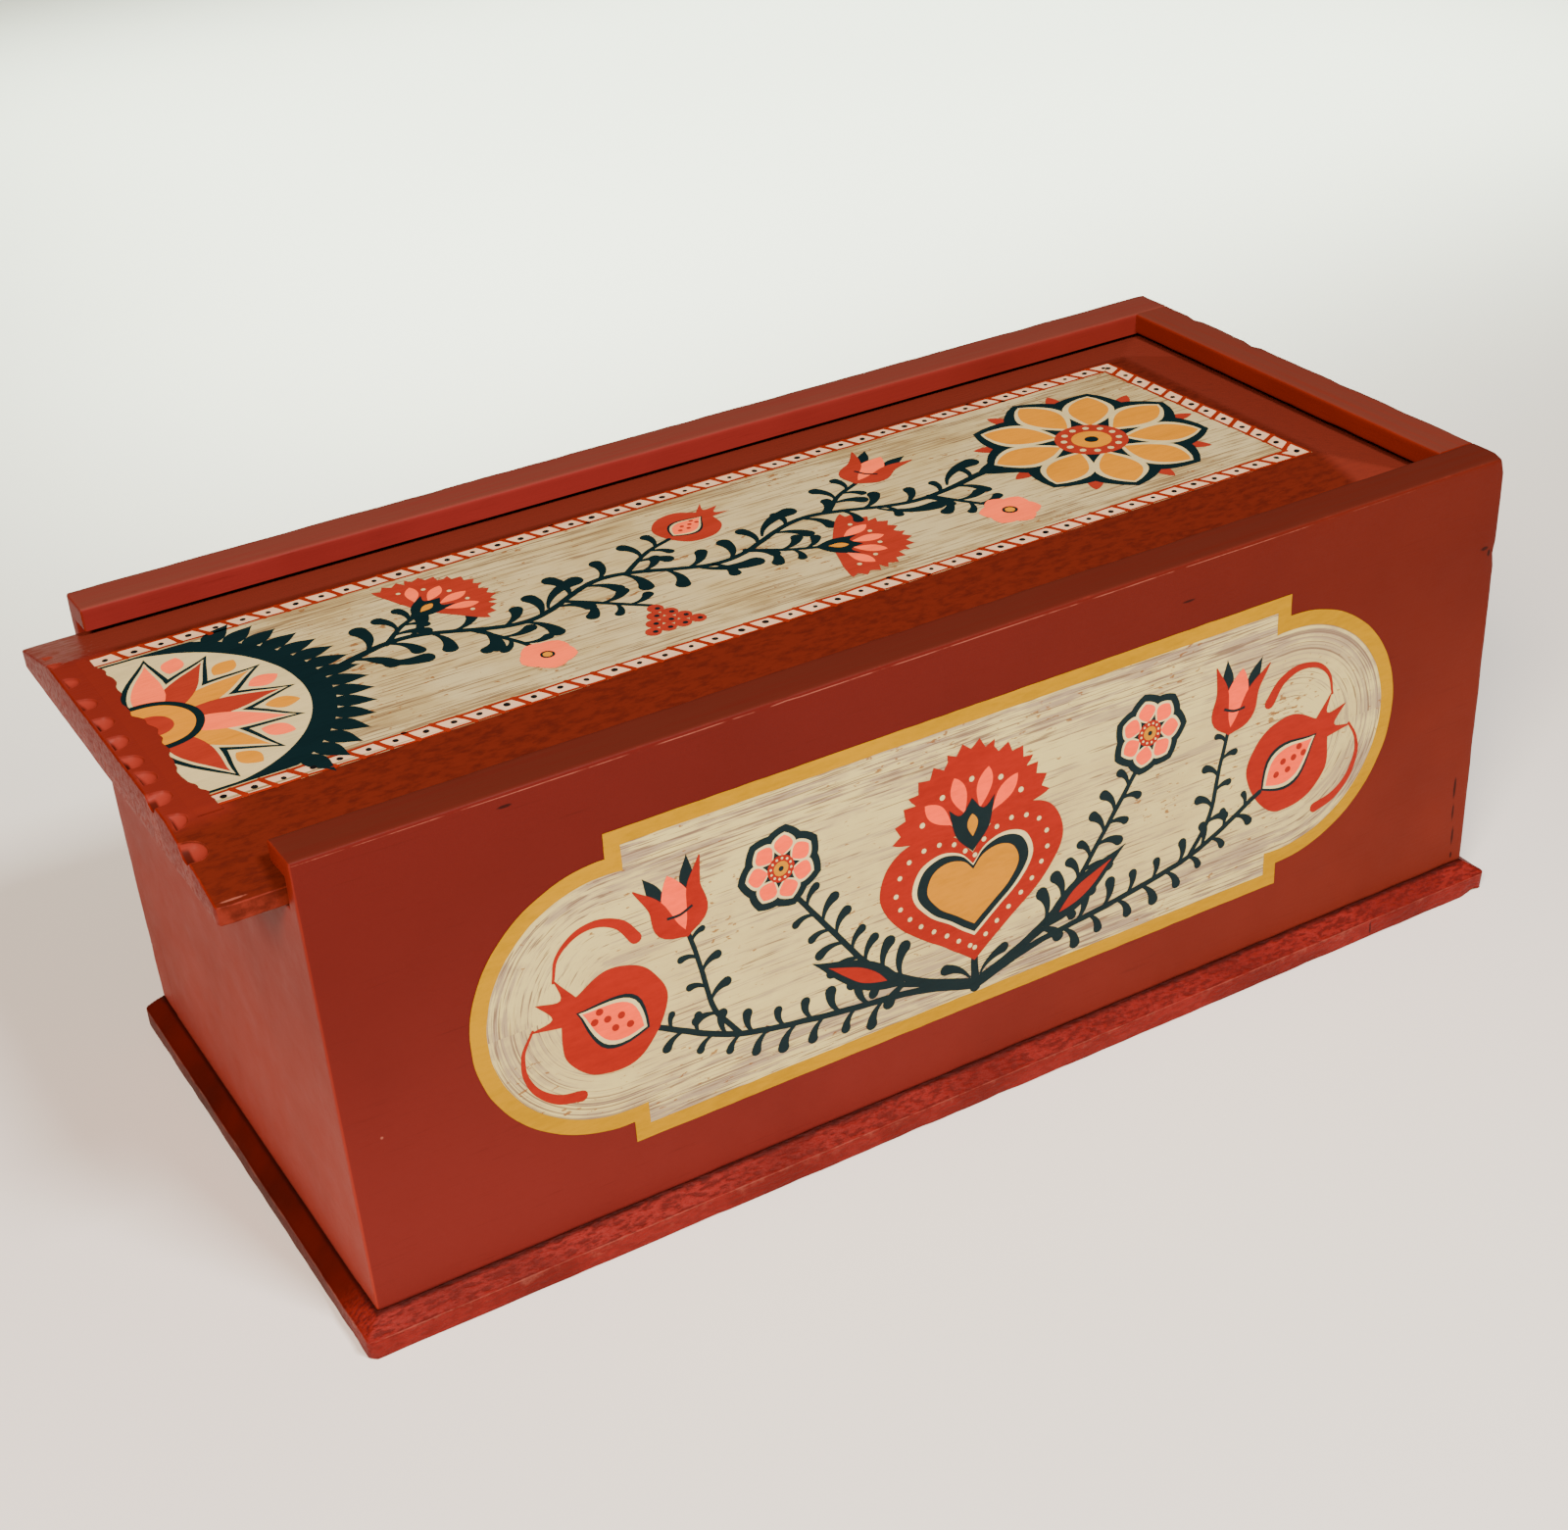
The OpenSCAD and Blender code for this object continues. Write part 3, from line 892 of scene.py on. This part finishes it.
def carnation():
    """A pink: a fan of notched petals out of a green cup, 20 mm tall"""
    flower = Painting()
    for angle in (-58, -30, 0, 30, 58):
        top = 18.5 - abs(angle)*0.035
        notched = symmetric([(0, 3, 1), (2.6, 9), (4.6, top - 2.2), (4.9, top, 1), (3.0, top - 0.9, 1),
                             (1.8, top + 1.2, 1), (0, top - 0.3, 1)])
        flower.lay("orange_red", 1, placed(notched, 0, 0, angle))
        turn = math.radians(angle)
        flower.lay("cream_line", 2, disc(12.2*math.sin(turn), 12.2*math.cos(turn), 0.55))
    for angle in (-44, -15, 15, 44):
        flower.lay("salmon", 2, placed(petal(14.0, 3.2, 6.0), 0, 0, angle))
    flower.lay("leaf_green", 3, symmetric([(0, -2.5, 1), (3.4, 1.5), (4.8, 7.5, 1), (2.4, 5.6), (0, 8.4, 1)]))
    flower.lay("ochre", 4, placed(petal(4.6, 2.2), 0, 0.6))
    return flower


def rosette(petals, r, petal_paint):
    """A round flower of edged petals about an eye"""
    flower = Painting()
    width = 2*math.pi*r*0.74/petals
    for k in range(petals):
        for paint, level, length, wide, start in (
                ("leaf_green", 2, r, 1.32, 0.2), ("cream_line", 3, r - 1.7, 0.86, 0.26),
                (petal_paint, 4, r - 2.3, 0.66, 0.3)):
            flower.lay(paint, level, placed(petal(length, width*wide, r*start, 1.15), 0, 0, 360*k/petals))
    flower.lay("orange_red", 5, disc(0, 0, r*0.31))
    flower.lay("cream_line", 6, *[disc(r*0.235*math.cos(a), r*0.235*math.sin(a), r*0.028)
                                  for a in np.arange(12)*math.pi/6])
    flower.lay("ochre", 6, disc(0, 0, r*0.17))
    flower.lay("leaf_green", 7, disc(0, 0, r*0.06))
    return flower


def daisy(petals, r):
    """A small plain flower with a ringed eye"""
    flower = Painting()
    for k in range(petals):
        flower.lay("salmon", 2, placed(petal(r, 2*math.pi*r*0.82/petals, 0, 1.5), 0, 0, 360*k/petals))
    flower.lay("leaf_green", 3, disc(0, 0, r*0.25))
    flower.lay("ochre", 4, disc(0, 0, r*0.16))
    return flower


def pomegranate():
    """A round fruit split open, with a crown, 22 mm tall"""
    fruit = Painting()
    fruit.lay("orange_red", 1, symmetric([(0, 0), (6.2, 1.6), (9.2, 7.5), (7.6, 13.4), (2.6, 16.6, 1),
                                          (4.6, 21.5, 1), (1.6, 18.8), (0, 22.5, 1)]))
    for paint, level, length, width, start in (
            ("leaf_green", 2, 13.6, 9.4, 1.7), ("cream_line", 3, 12.6, 8.0, 2.2),
            ("salmon", 4, 11.4, 6.6, 2.8)):
        fruit.lay(paint, level, placed(leaf(length, width), 0, start))
    for u, v in ((0, 5.4), (-1.1, 7.6), (1.1, 7.6), (0, 9.6), (-0.9, 11.5), (0.9, 11.5)):
        fruit.lay("orange_red", 5, disc(u, v, 0.62))
    for side in (-1, 1):
        fruit.lay("leaf_green", 0, comma(0, 0.5, 90 - side*78, 10, 2.6, side*64))
    return fruit


def bud():
    """A half-open bud, 13 mm tall"""
    flower = Painting()
    flower.lay("salmon", 2, placed(petal(11.5, 5.0, 0, 0.95), 0, 0))
    for side in (-1, 1):
        flower.lay("orange_red", 3, stroke([(0, 0.3, 0.8), (side*2.6, 3.2, 3.4), (side*3.3, 7.6, 2.3),
                                            (side*5.6, 12.0, 0.2)]))
        flower.lay("leaf_green", 1, placed(leaf(6.5, 2.2), side*1.9, 7.0, -side*16))
    flower.lay("leaf_green", 4, stroke([(-2.2, 4.6, 0.45), (0, 4.1, 0.45), (2.2, 4.6, 0.45)]))
    return flower


def berries():
    """A hanging bunch of berries with green eyes"""
    bunch = Painting()
    for row in range(4):
        for k in range(4 - row):
            u, v = (k - (3 - row)/2)*2.9, row*2.5
            bunch.lay("orange_red", 2, disc(u, v, 1.5))
            bunch.lay("leaf_green", 3, disc(u + 0.3, v - 0.2, 0.5))
    return bunch


def heart(size=1.0):
    """A heart 33 mm tall, scaled about its middle"""
    half = [(0, 33.5, 1), (8, 40), (17, 47.3), (21.8, 55.6), (19.2, 63.6), (12, 66.6), (4.6, 64.6),
            (0, 59.4, 1)]
    return symmetric([(u*size, 51.5 + (v - 51.5)*size, *tip) for u, v, *tip in half])


def front_design():
    """A heart with a pink above it, and stems that carry flowers and fruit to both ends"""
    whole, half = Painting(), Painting()
    for paint, level, size in (("orange_red", 2, 1.0), ("cream_line", 3, 0.66), ("leaf_green", 4, 0.61),
                               ("ochre", 5, 0.50)):
        whole.lay(paint, level, heart(size))
    whole.lay("cream_line", 3, *[disc(u, v, 0.55) for u, v in heart(0.83)[0][::5]])
    whole.add(carnation(), 0, 62.5, 0, 1.12)
    whole.lay("leaf_green", 1, stroke([(0, 27.0, 2.8), (0, 30, 2.0), (0, 36, 1.6)]))

    sprig(half, [(0.4, 28, 1.8), (13, 33.5, 1.3), (24, 41.5, 1.1), (31.5, 51.5, 1.0), (40, 64, 0.9)], 7,
          start=0.3)
    half.add(rosette(7, 9.4, "salmon"), 43.2, 71.8, 10)
    sprig(half, [(0.8, 27.6, 1.9), (15, 31.6, 1.4), (36, 34.4, 1.2), (56, 38.6, 1.1), (73, 47.5, 1.0)], 8,
          6.0, 2.5, start=0.3)
    half.add(pomegranate(), 71.5, 46.6, -58, 1.26)
    sprig(half, [(54.5, 38.2, 1.0), (59.5, 46, 0.9), (61.5, 56, 0.8), (63.5, 65, 0.7)], 3, 4.8, 2.1,
          start=0.3)
    half.add(bud(), 63.7, 64.6, -12, 1.28)
    half.lay("leaf_green", 1, stroke([(1.5, 28.4, 1.6), (9, 31.0, 1.2), (18, 34.6, 1.0)]))
    half.lay("leaf_green", 2, placed(leaf(25, 6.4), 16.6, 34.4, -58))
    half.lay("orange_red", 3, placed(leaf(15.5, 3.0), 21.0, 37.0, -58))
    half.lay("orange_red", 1, comma(91.5, 65.0, 70, 25, 2.6, 165), comma(96.6, 56.6, -35, 25, 2.5, -130))
    half.lay("leaf_green", 2, comma(1.2, 29.5, 66, 7.5, 2.6, -50))
    whole.add(half, 0, 0)
    whole.add(half, 0, 0, flip=-1)
    return whole


def compass_star(work):
    """Half a compass star at the lid's open end, cut off at the border"""
    star_u, star_v, ring_r = -138.0, -1.0, 29.0

    def about(r, degrees):
        """The place r mm from the star's middle, degrees from straight back"""
        a = math.radians(degrees)
        return star_u + r*math.sin(a), star_v + r*math.cos(a)

    def half_disc(r, limit=28.2):
        """The half of a round that lies on the lid"""
        rim = [about(r, degrees) for degrees in np.linspace(0, 180, 48)]
        rim = [(star_u - 2.3, rim[0][1]), *rim, (star_u - 2.3, rim[-1][1])]
        return fill([(u, max(star_v - limit, min(star_v + limit, v))) for u, v in rim])

    work.lay("leaf_green", 1, half_disc(ring_r + 4.6, 29.0))
    for k in range(16):
        degrees = 36 + 108*k/15
        work.lay("leaf_green", 1, placed(leaf(9.5, 4.4), *about(ring_r + 2.6, degrees), -degrees - 14))
    work.lay("cream_line", 2, half_disc(ring_r))
    rays = ("salmon", "orange_red", "ochre", "orange_red", "salmon", "ochre", "orange_red")
    for k, paint in enumerate(rays):
        degrees = 15 + 25*k
        for tone, level, start, length, width in (
                ("leaf_green", 3, 0, 27.8, 10.4), ("cream_line", 4, 1.6, 24.6, 8.0),
                (paint, 5, 2.8, 22.0, 6.4)):
            work.lay(tone, level, placed(leaf(length, width), *about(start, degrees), -degrees))
        if k:
            drop = placed(petal(6.5, 4.4, 0, 1.0), *about(20.6, degrees - 12.5), -degrees + 12.5)
            work.lay("salmon" if k % 2 else "ochre", 4, drop)
    for paint, level, r in (("leaf_green", 6, 9.6), ("ochre", 7, 8.0), ("orange_red", 8, 4.0)):
        work.lay(paint, level, half_disc(r))


def lid_design():
    """Half a compass star at the open end, a waving stem, and a full round flower"""
    work = Painting()
    compass_star(work)
    stem = [(-106, -1, 2.0), (-86, 4.0, 1.4), (-64, -4.0, 1.3), (-43, 4.0, 1.3), (-20, -4.0, 1.2),
            (3, 4.0, 1.2), (26, -3.0, 1.2), (47, 0.5, 1.8)]
    sprig(work, stem, 17, 8.8, 3.3, start=0.05, end=0.97)
    for start, bend, tip in (
            ((-90, 3.4, 1.1), (-85, 8.5), (-79.5, 12.0)), ((-54, -0.5, 1.0), (-48, -6), (-41, -12.5)),
            ((-38, 3.4, 1.0), (-31, 9), (-24, 12)), ((-14, -2.0, 1.0), (-7, -7), (0, -10.5)),
            ((9, 3.4, 1.0), (15, 9), (21, 12.0)), ((30, -2.6, 1.0), (34, -9), (38.5, -15)),
            ((-74, -1.0, 1.0), (-70, -8), (-67, -15))):
        sprig(work, [start, (*bend, 0.9), (*tip, 0.8)], 2, 6.4, 2.7, start=0.3, end=0.8)
    work.add(carnation(), -79.5, 12.0, -58, 0.86)
    work.add(berries(), -41.0, -22.6, 0, 1.12)
    work.add(pomegranate(), -24.0, 12.0, -62, 0.80)
    work.add(carnation(), 0.0, -10.5, -116, 0.90)
    work.add(bud(), 21.0, 12.0, -54, 1.25)
    work.add(daisy(6, 6.6), 39.5, -18.6, 10)
    work.add(daisy(5, 5.8), -66.5, -18.8, 25)
    for u, v, angle, bend in ((-26, -2.5, -62, 60), (18, -1.5, -66, 62), (-58, -1.5, 74, -58),
                              (-8, 1.5, 70, -60), (36, -0.5, 70, -62), (-96, 1.0, -75, 66)):
        work.lay("leaf_green", 2, comma(u, v, angle, 13, 3.8, bend))
    work.add(rosette(9, 26.0, "ochre"), 74.0, 0.2, 6)
    work.lay("leaf_green", 1, closed([(44, 0.4, 1), (49, 3.6), (58, 6.5), (58, -6.5), (49, -2.8)]))
    for k in range(9):
        a = math.radians(26 + 40*k)
        u, v = 74 - 18.0*math.sin(a), 0.2 + 18.0*math.cos(a)
        work.lay("orange_red", 1, placed(petal(8.0, 3.4, 0, 1.0), u, v, math.degrees(a)))
    return work


# ------------------------------------------------------- the panels' grounds
PANEL_X, PANEL_LOW, PANEL_HIGH = 78.6, 22.3, 92.2     # the front panel's straight middle
ROUND_X, ROUND_Z, ROUND_R = 79.0, 57.4, 29.9          # its round ends
BAND = 3.3                                            # width of its yellow band
FIELD = ((-139.4, 32.6), (103.4, 33.8), (107.0, -33.6), (-138.4, -34.6))   # the lid's painted field
BORDER = 4.6                                          # width of its border of squares
GROUND_T = 0.05                                       # thickness of the cream under the painting
COAT_T = 0.03                                         # thickness of one coat of the painting
COAT_STEP = 0.02                                      # how much higher each next coat lies


def along(a, b, count):
    """Even points from a towards b, without b"""
    return [(a[0] + (b[0] - a[0])*k/count, a[1] + (b[1] - a[1])*k/count) for k in range(count)]


def panel_outline(inset):
    """The front panel's stepped outline with round ends, drawn in by inset"""
    a, low, high, r = PANEL_X - inset, PANEL_LOW + inset, PANEL_HIGH - inset, ROUND_R - inset
    start = math.acos((a - ROUND_X)/r)
    arc = [(ROUND_X + r*math.cos(t), ROUND_Z + r*math.sin(t)) for t in np.linspace(start, -start, 60)]
    upper = along((0, high), (a, high), 60) + along((a, high), arc[0], 4)
    right = upper + arc + [(u, high + low - v) for u, v in upper[:0:-1]]
    return right + [(-u, high + low - v) for u, v in right]


def shaky(points, amount):
    """The same points as a steady hand puts them: never quite on the line"""
    return [(u + amount*wander((u, v, 0), 4.0, 9.0), v + amount*wander((v, u, 5), 4.0, 9.0))
            for u, v in points]


def between(outer, inner):
    """A closed band between two outlines of as many points"""
    n = len(outer)
    return outer + inner, [(k, (k + 1) % n, n + (k + 1) % n, n + k) for k in range(n)]


def on_front(u, v, height):
    return (u, FRONT_LOW.y - height, v)


def on_lid(u, v, height):
    return (u, v, lid_face(u, v) + height)


FRONT = ("box", "body_paint", on_front)               # what a coat on the front rides on, and where it lies
LID = ("lid", "lid_paint", on_lid)


def coat(name, board, shapes, material, height, thick=COAT_T, unsteady=0.12, first=0):
    """A coat of paint: shapes raised a little off the board that they are painted on.
    Each lies a hair higher than the one before, counted from first, so that none share a plane."""
    body, slot, to_board = board
    bm = bmesh.new()
    for k, (points, faces) in enumerate(shapes, first):
        raised = height + 0.001*(k % 19)
        points = shaky(points, unsteady)
        upper = [bm.verts.new(to_board(u, v, raised)) for u, v in points]
        for face in faces:
            if len(set(face)) > 2:
                bm.faces.new([upper[i] for i in face])
        edges = dict.fromkeys(edge for face in faces for edge in zip(face, face[1:] + face[:1]))
        lower = {}
        for a, b in edges:
            if (b, a) not in edges:
                for i in (a, b):
                    if i not in lower:
                        lower[i] = bm.verts.new(to_board(*points[i], raised - thick))
                bm.faces.new((upper[b], upper[a], lower[a], lower[b]))
    bmesh.ops.recalc_face_normals(bm, faces=bm.faces)
    far_from_arrises = np.full(len(bm.verts), 9.0)
    to_object(bm, name, [material], far_from_arrises, body, crease=30)


def panel_paint(name, colour, worn, shine=PAINT_GLOSS):
    """A colour from the painter's pots: faint brush marks, a few worn specks"""
    material, tree, shader = new_material(name)
    grain = use(tree, GRAIN, {"Stretch": (0.12, 1.0, 0.5), "Fine": 2.6})["Grain"]
    deep = (*[c*0.78 for c in colour[:3]], 1.0)
    specks = use(tree, FLECKS, {"Stretch": (0.7, 1, 1), "Scale": 0.9, "Share": 0.04})["Mask"]
    tone = layered(blend(ease(grain, 0.38, 0.72), colour, deep), (specks, 0.7, worn))
    dress(shader, tone, grain*0.15 + 0.42, shine, grain, 0.05)
    return material


def make_streak_way_group():
    """The way of the brush on the front panel: along it, and round its round ends"""
    tree, given, out = new_group("streak_way", {}, (("Way", "Vector"), ("To edge", "Float")))
    x, y, z = parts(place_in_mm(tree))
    past = (x.calc("ABSOLUTE") - ROUND_X).calc("MAXIMUM")
    up = z - ROUND_Z
    across = (past*past + up*up).calc("SQRT")
    forth = x + up.calc("ARCTAN2", past + 0.001)*(ROUND_R*0.8)
    way = add(tree, "CombineXYZ", {0: forth, 1: across, 2: up.calc("SIGN")*40.0})
    put(Value(way, 0), out["Way"])
    put(across, out["To edge"])
    return tree


def cream_ground(name, way, edge, near, far, cream, aged, shadow, streaked, washed):
    """Cream paint dragged on with a dry brush: clean in the middle, thin and greyed near its
    edge. way(tree) and edge(tree) give the way of the brush and how near the edge is."""
    material, tree, shader = new_material(name)
    long = way(tree)*(0.05, 1.25, 1.25)
    strokes = cloud(long, 0.95, 3.0, 0.6)
    hairs = cloud(long*(1.6, 2.2, 2.2), 0.8, 2.0, 0.6)
    patches = cloud(place_in_mm(tree)*(0.5, 1, 1), 0.10, 4.0, 0.65)
    thin = ease(edge(tree), far, near)
    level = strokes*0.55 + hairs*0.45 + (patches - 0.5)*0.25 + thin*0.06
    streaks = ease(level, 0.52, 0.60)
    specks = use(tree, FLECKS, {"Stretch": (0.45, 1, 1.3), "Scale": 0.9, "Share": 0.24})["Mask"]
    tone = layered(blend(ease(patches, 0.35, 0.7), cream, aged),
                   (thin*ease(patches + strokes, 0.9, 1.1), washed, shadow), (streaks, streaked, shadow),
                   (ease(hairs + thin*0.07, 0.61, 0.66), 0.65, srgb(88, 62, 50)),
                   (specks, 0.8, srgb(112, 66, 30)))
    dress(shader, tone, streaks*0.2 + 0.46, PAINT_GLOSS, 1.0 - level, 0.12)
    return material


def make_paints(prefix, orange_red, salmon, ochre, cream):
    """The painter's pots for one panel"""
    brown = srgb(96, 44, 22)
    pots = {"orange_red": (orange_red, srgb(160, 80, 50)), "salmon": (salmon, brown), "ochre": (ochre, brown),
            "leaf_green": (srgb(8, 26, 30), srgb(40, 50, 44)), "cream_line": (cream, srgb(140, 110, 80))}
    return {paint: panel_paint(f"{prefix}_{paint}", *tones) for paint, tones in pots.items()}


def paint_panel(prefix, board, work, paints):
    laid = {}
    for (paint, level), shapes in sorted(work.coats.items(), key=lambda item: item[0][::-1]):
        height = GROUND_T + COAT_T + COAT_STEP*level
        coat(f"{prefix}_{paint}_coat_{level}", board, shapes, paints[paint], height, first=laid.get(level, 0))
        laid[level] = laid.get(level, 0) + len(shapes)


def paint_front():
    streak_way = make_streak_way_group()
    ground = cream_ground("front_cream", lambda tree: use(tree, streak_way)["Way"],
                          lambda tree: use(tree, streak_way)["To edge"], 27.0, 16.0, srgb(183, 170, 113),
                          srgb(171, 156, 105), srgb(126, 108, 98), 0.5, 0.55)
    coat("front_panel_ground", FRONT, [fill(panel_outline(1.2))], ground, GROUND_T)
    yellow = panel_paint("front_band_yellow", srgb(158, 116, 0), srgb(96, 40, 16), shine=0.02)
    band = between(panel_outline(0.0), panel_outline(BAND))
    coat("front_panel_band", FRONT, [band], yellow, GROUND_T + 0.04)
    paints = make_paints("front", srgb(136, 25, 12), srgb(234, 76, 40), srgb(172, 112, 2),
                         srgb(194, 180, 130))
    paint_panel("front", FRONT, front_design(), paints)


def lid_border():
    """White cells with a dot in each, parted by slanted strokes, along a fine red-brown line"""
    hand = random.Random(11)
    lines, strips, dots = [], [], []
    for a, b in zip(FIELD, FIELD[1:]):
        a, b = np.array(a), np.array(b)
        length = np.linalg.norm(b - a)
        way = (b - a)/length
        inward = np.array((way[1], -way[0]))

        def lane(depth):
            """The ends of a line along this edge, mitred where it meets its neighbour"""
            return (a + inward*depth + way*depth*(a[0] > -100), b + inward*depth - way*depth*(b[0] > -100))

        outer, inner = lane(0.25), lane(BORDER - 0.9)
        strips.append(([*map(tuple, (*outer, *inner[::-1]))], [(0, 1, 2, 3)]))
        for depth, width in ((0.2, 0.5), (BORDER - 0.75, 0.65)):
            p, q = lane(depth)
            line = [(*(p + (q - p)*k/20), width*(0.8 + 0.4*hand.random())) for k in range(21)]
            lines.append(stroke(line, 2.0))
        count = round(length/5.5)
        for k in range(count):
            at = a + way*(length*(k + 1)/count)
            if k + 1 < count:
                slant = 0.7 + 0.3*hand.random()
                p, q = at + inward*0.3 - way*slant, at + inward*(BORDER - 0.8) + way*slant
                lines.append(stroke([(*p, 1.15), (*((p + q)/2), 1.0), (*q, 1.2)], 1.5))
            spot = a + way*(length*(k + 0.5)/count + 0.6*(hand.random() - 0.5))
            dots.append(disc(*(spot + inward*(1.9 + 0.4*hand.random())), 0.5 + 0.2*hand.random()))
    return strips, lines, dots


def paint_lid():
    ground = cream_ground("lid_cream", place_in_mm, lambda tree: parts(place_in_mm(tree))[1].calc("ABSOLUTE"),
                          34.0, 12.0, srgb(173, 159, 118), srgb(161, 144, 99), srgb(112, 88, 58), 0.52, 0.3)
    back_left, back_right, front_right, front_left = FIELD
    rows = 72
    sides = zip(along(front_left, back_left, rows), along(front_right, back_right, rows))
    field = [p for pair in sides for p in pair]
    strip = [(2*k, 2*k + 1, 2*k + 3, 2*k + 2) for k in range(rows - 1)]
    coat("lid_field_ground", LID, [(field, strip)], ground, GROUND_T)
    strips, lines, dots = lid_border()
    for name, shapes, colour, worn, level, unsteady in (
            ("white", strips, srgb(202, 166, 134), srgb(120, 60, 40), 0.07, 0.0),
            ("red", lines, srgb(122, 32, 14), srgb(190, 150, 110), 0.10, 0.22),
            ("black", dots, srgb(14, 12, 14), srgb(60, 40, 30), 0.12, 0.3)):
        paint = panel_paint("lid_border_" + name, colour, worn)
        coat("lid_border_" + name, LID, shapes, paint, level, unsteady=unsteady)
    paints = make_paints("lid", srgb(140, 42, 28), srgb(240, 98, 56), srgb(190, 122, 14), srgb(188, 172, 124))
    paint_panel("lid", LID, lid_design(), paints)
    cover_lid_end(front_left, back_left)


def cover_lid_end(front, back):
    """The worn red paint that cuts the painting off before the finger notches"""
    inner = LID_LOW.x + NOTCH_RUN + NOTCH_R + 0.3
    rows = 90
    edge = along((front[0], front[1] - 1.2), (back[0], back[1] + 1.2), rows)
    edge = [(u + 1.9*wander((u, v, 0), 9.0, 4.0) + 0.9*wander((u, v, 9), 2.4, 2.0), v) for u, v in edge]
    over = ([(inner + (u - inner)*share, v) for u, v in edge for share in (0, 0.15, 1)],
            [(3*k + a, 3*k + a + 1, 3*k + a + 4, 3*k + a + 3) for k in range(rows - 1) for a in (0, 1)])

    def swelling(u, v, height):
        """Flush with the gouged wood at its inner side, above all the paint at its outer edge"""
        return on_lid(u, v, height*min(1.0, (u - inner)/0.8) - 0.02)

    red = bpy.data.materials["lid_red"]
    coat("lid_end_red", (*LID[:2], swelling), [over], red, 0.33, thick=0.25, unsteady=0.0)


# ------------------------------------------------------- table, light, camera
def make_stage():
    material, tree, shader = new_material("table_white")
    clouds = cloud(place_in_mm(tree), 0.004, 2.0)
    put(blend(clouds, srgb(232, 228, 226), srgb(238, 236, 233)), shader["Base Color"])
    put(0.55, shader["Roughness"])
    bm = bmesh.new()
    bmesh.ops.create_grid(bm, x_segments=8, y_segments=8, size=3.0)
    mesh = bpy.data.meshes.new("table")
    bm.to_mesh(mesh)
    bm.free()
    mesh.materials.append(material)
    in_scene("table", mesh)


def soft_light(name, place, aim, size, watts, tint, spread=180):
    lamp = bpy.data.lights.new(name, "AREA")
    lamp.shape = "RECTANGLE"
    lamp.size, lamp.size_y = size
    lamp.energy = watts
    lamp.color = tint
    lamp.spread = math.radians(spread)
    light = in_scene(name, lamp)
    light.location = place
    light.rotation_euler = (Vector(aim) - Vector(place)).to_track_quat("-Z", "Y").to_euler()


def make_light():
    """A window high at the left, a lamp above the front, and a low wide one over the table behind"""
    soft_light("left_window", (-0.88, -0.89, 1.08), (0, 0, 0.03), (0.52, 0.47), 49, (1.0, 0.79, 0.63))
    soft_light("front_lamp", (0.18, -0.85, 1.15), (0.1, -0.2, 0), (0.3, 0.25), 29, (1.0, 0.98, 0.91))
    soft_light("back_lamp", (0.37, 0.63, 0.28), (0.37, 0.63, 0), (0.87, 0.73), 10, (0.84, 1.0, 0.79), 95)
    world = bpy.data.worlds.new("studio")
    world.use_nodes = True
    background = world.node_tree.nodes["Background"].inputs
    put((1.0, 0.97, 0.93, 1), background["Color"])
    put(0.05, background["Strength"])
    bpy.context.scene.world = world


def make_camera():
    lens = bpy.data.cameras.new("camera")
    lens.lens, lens.sensor_width = 56.59, 36.0
    lens.shift_x, lens.shift_y = -0.0194, 0.1040
    lens.clip_start, lens.clip_end = 0.01, 20
    camera = in_scene("camera", lens)
    camera.location = Vector((-227.4, -404.8, 321.1))*MM
    camera.rotation_euler = [math.radians(a) for a in (55.864, 2.897, -31.050)]
    bpy.context.scene.camera = camera


wire = dull_wire("dull_wire")
for brads in ("front_corner_brads", "back_corner_brads", "base_brads"):
    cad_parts[brads].data.materials.clear()
    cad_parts[brads].data.materials.append(wire)

make_body_boards()
make_base_board()
make_lid()
paint_front()
paint_lid()
make_stage()
make_light()
make_camera()
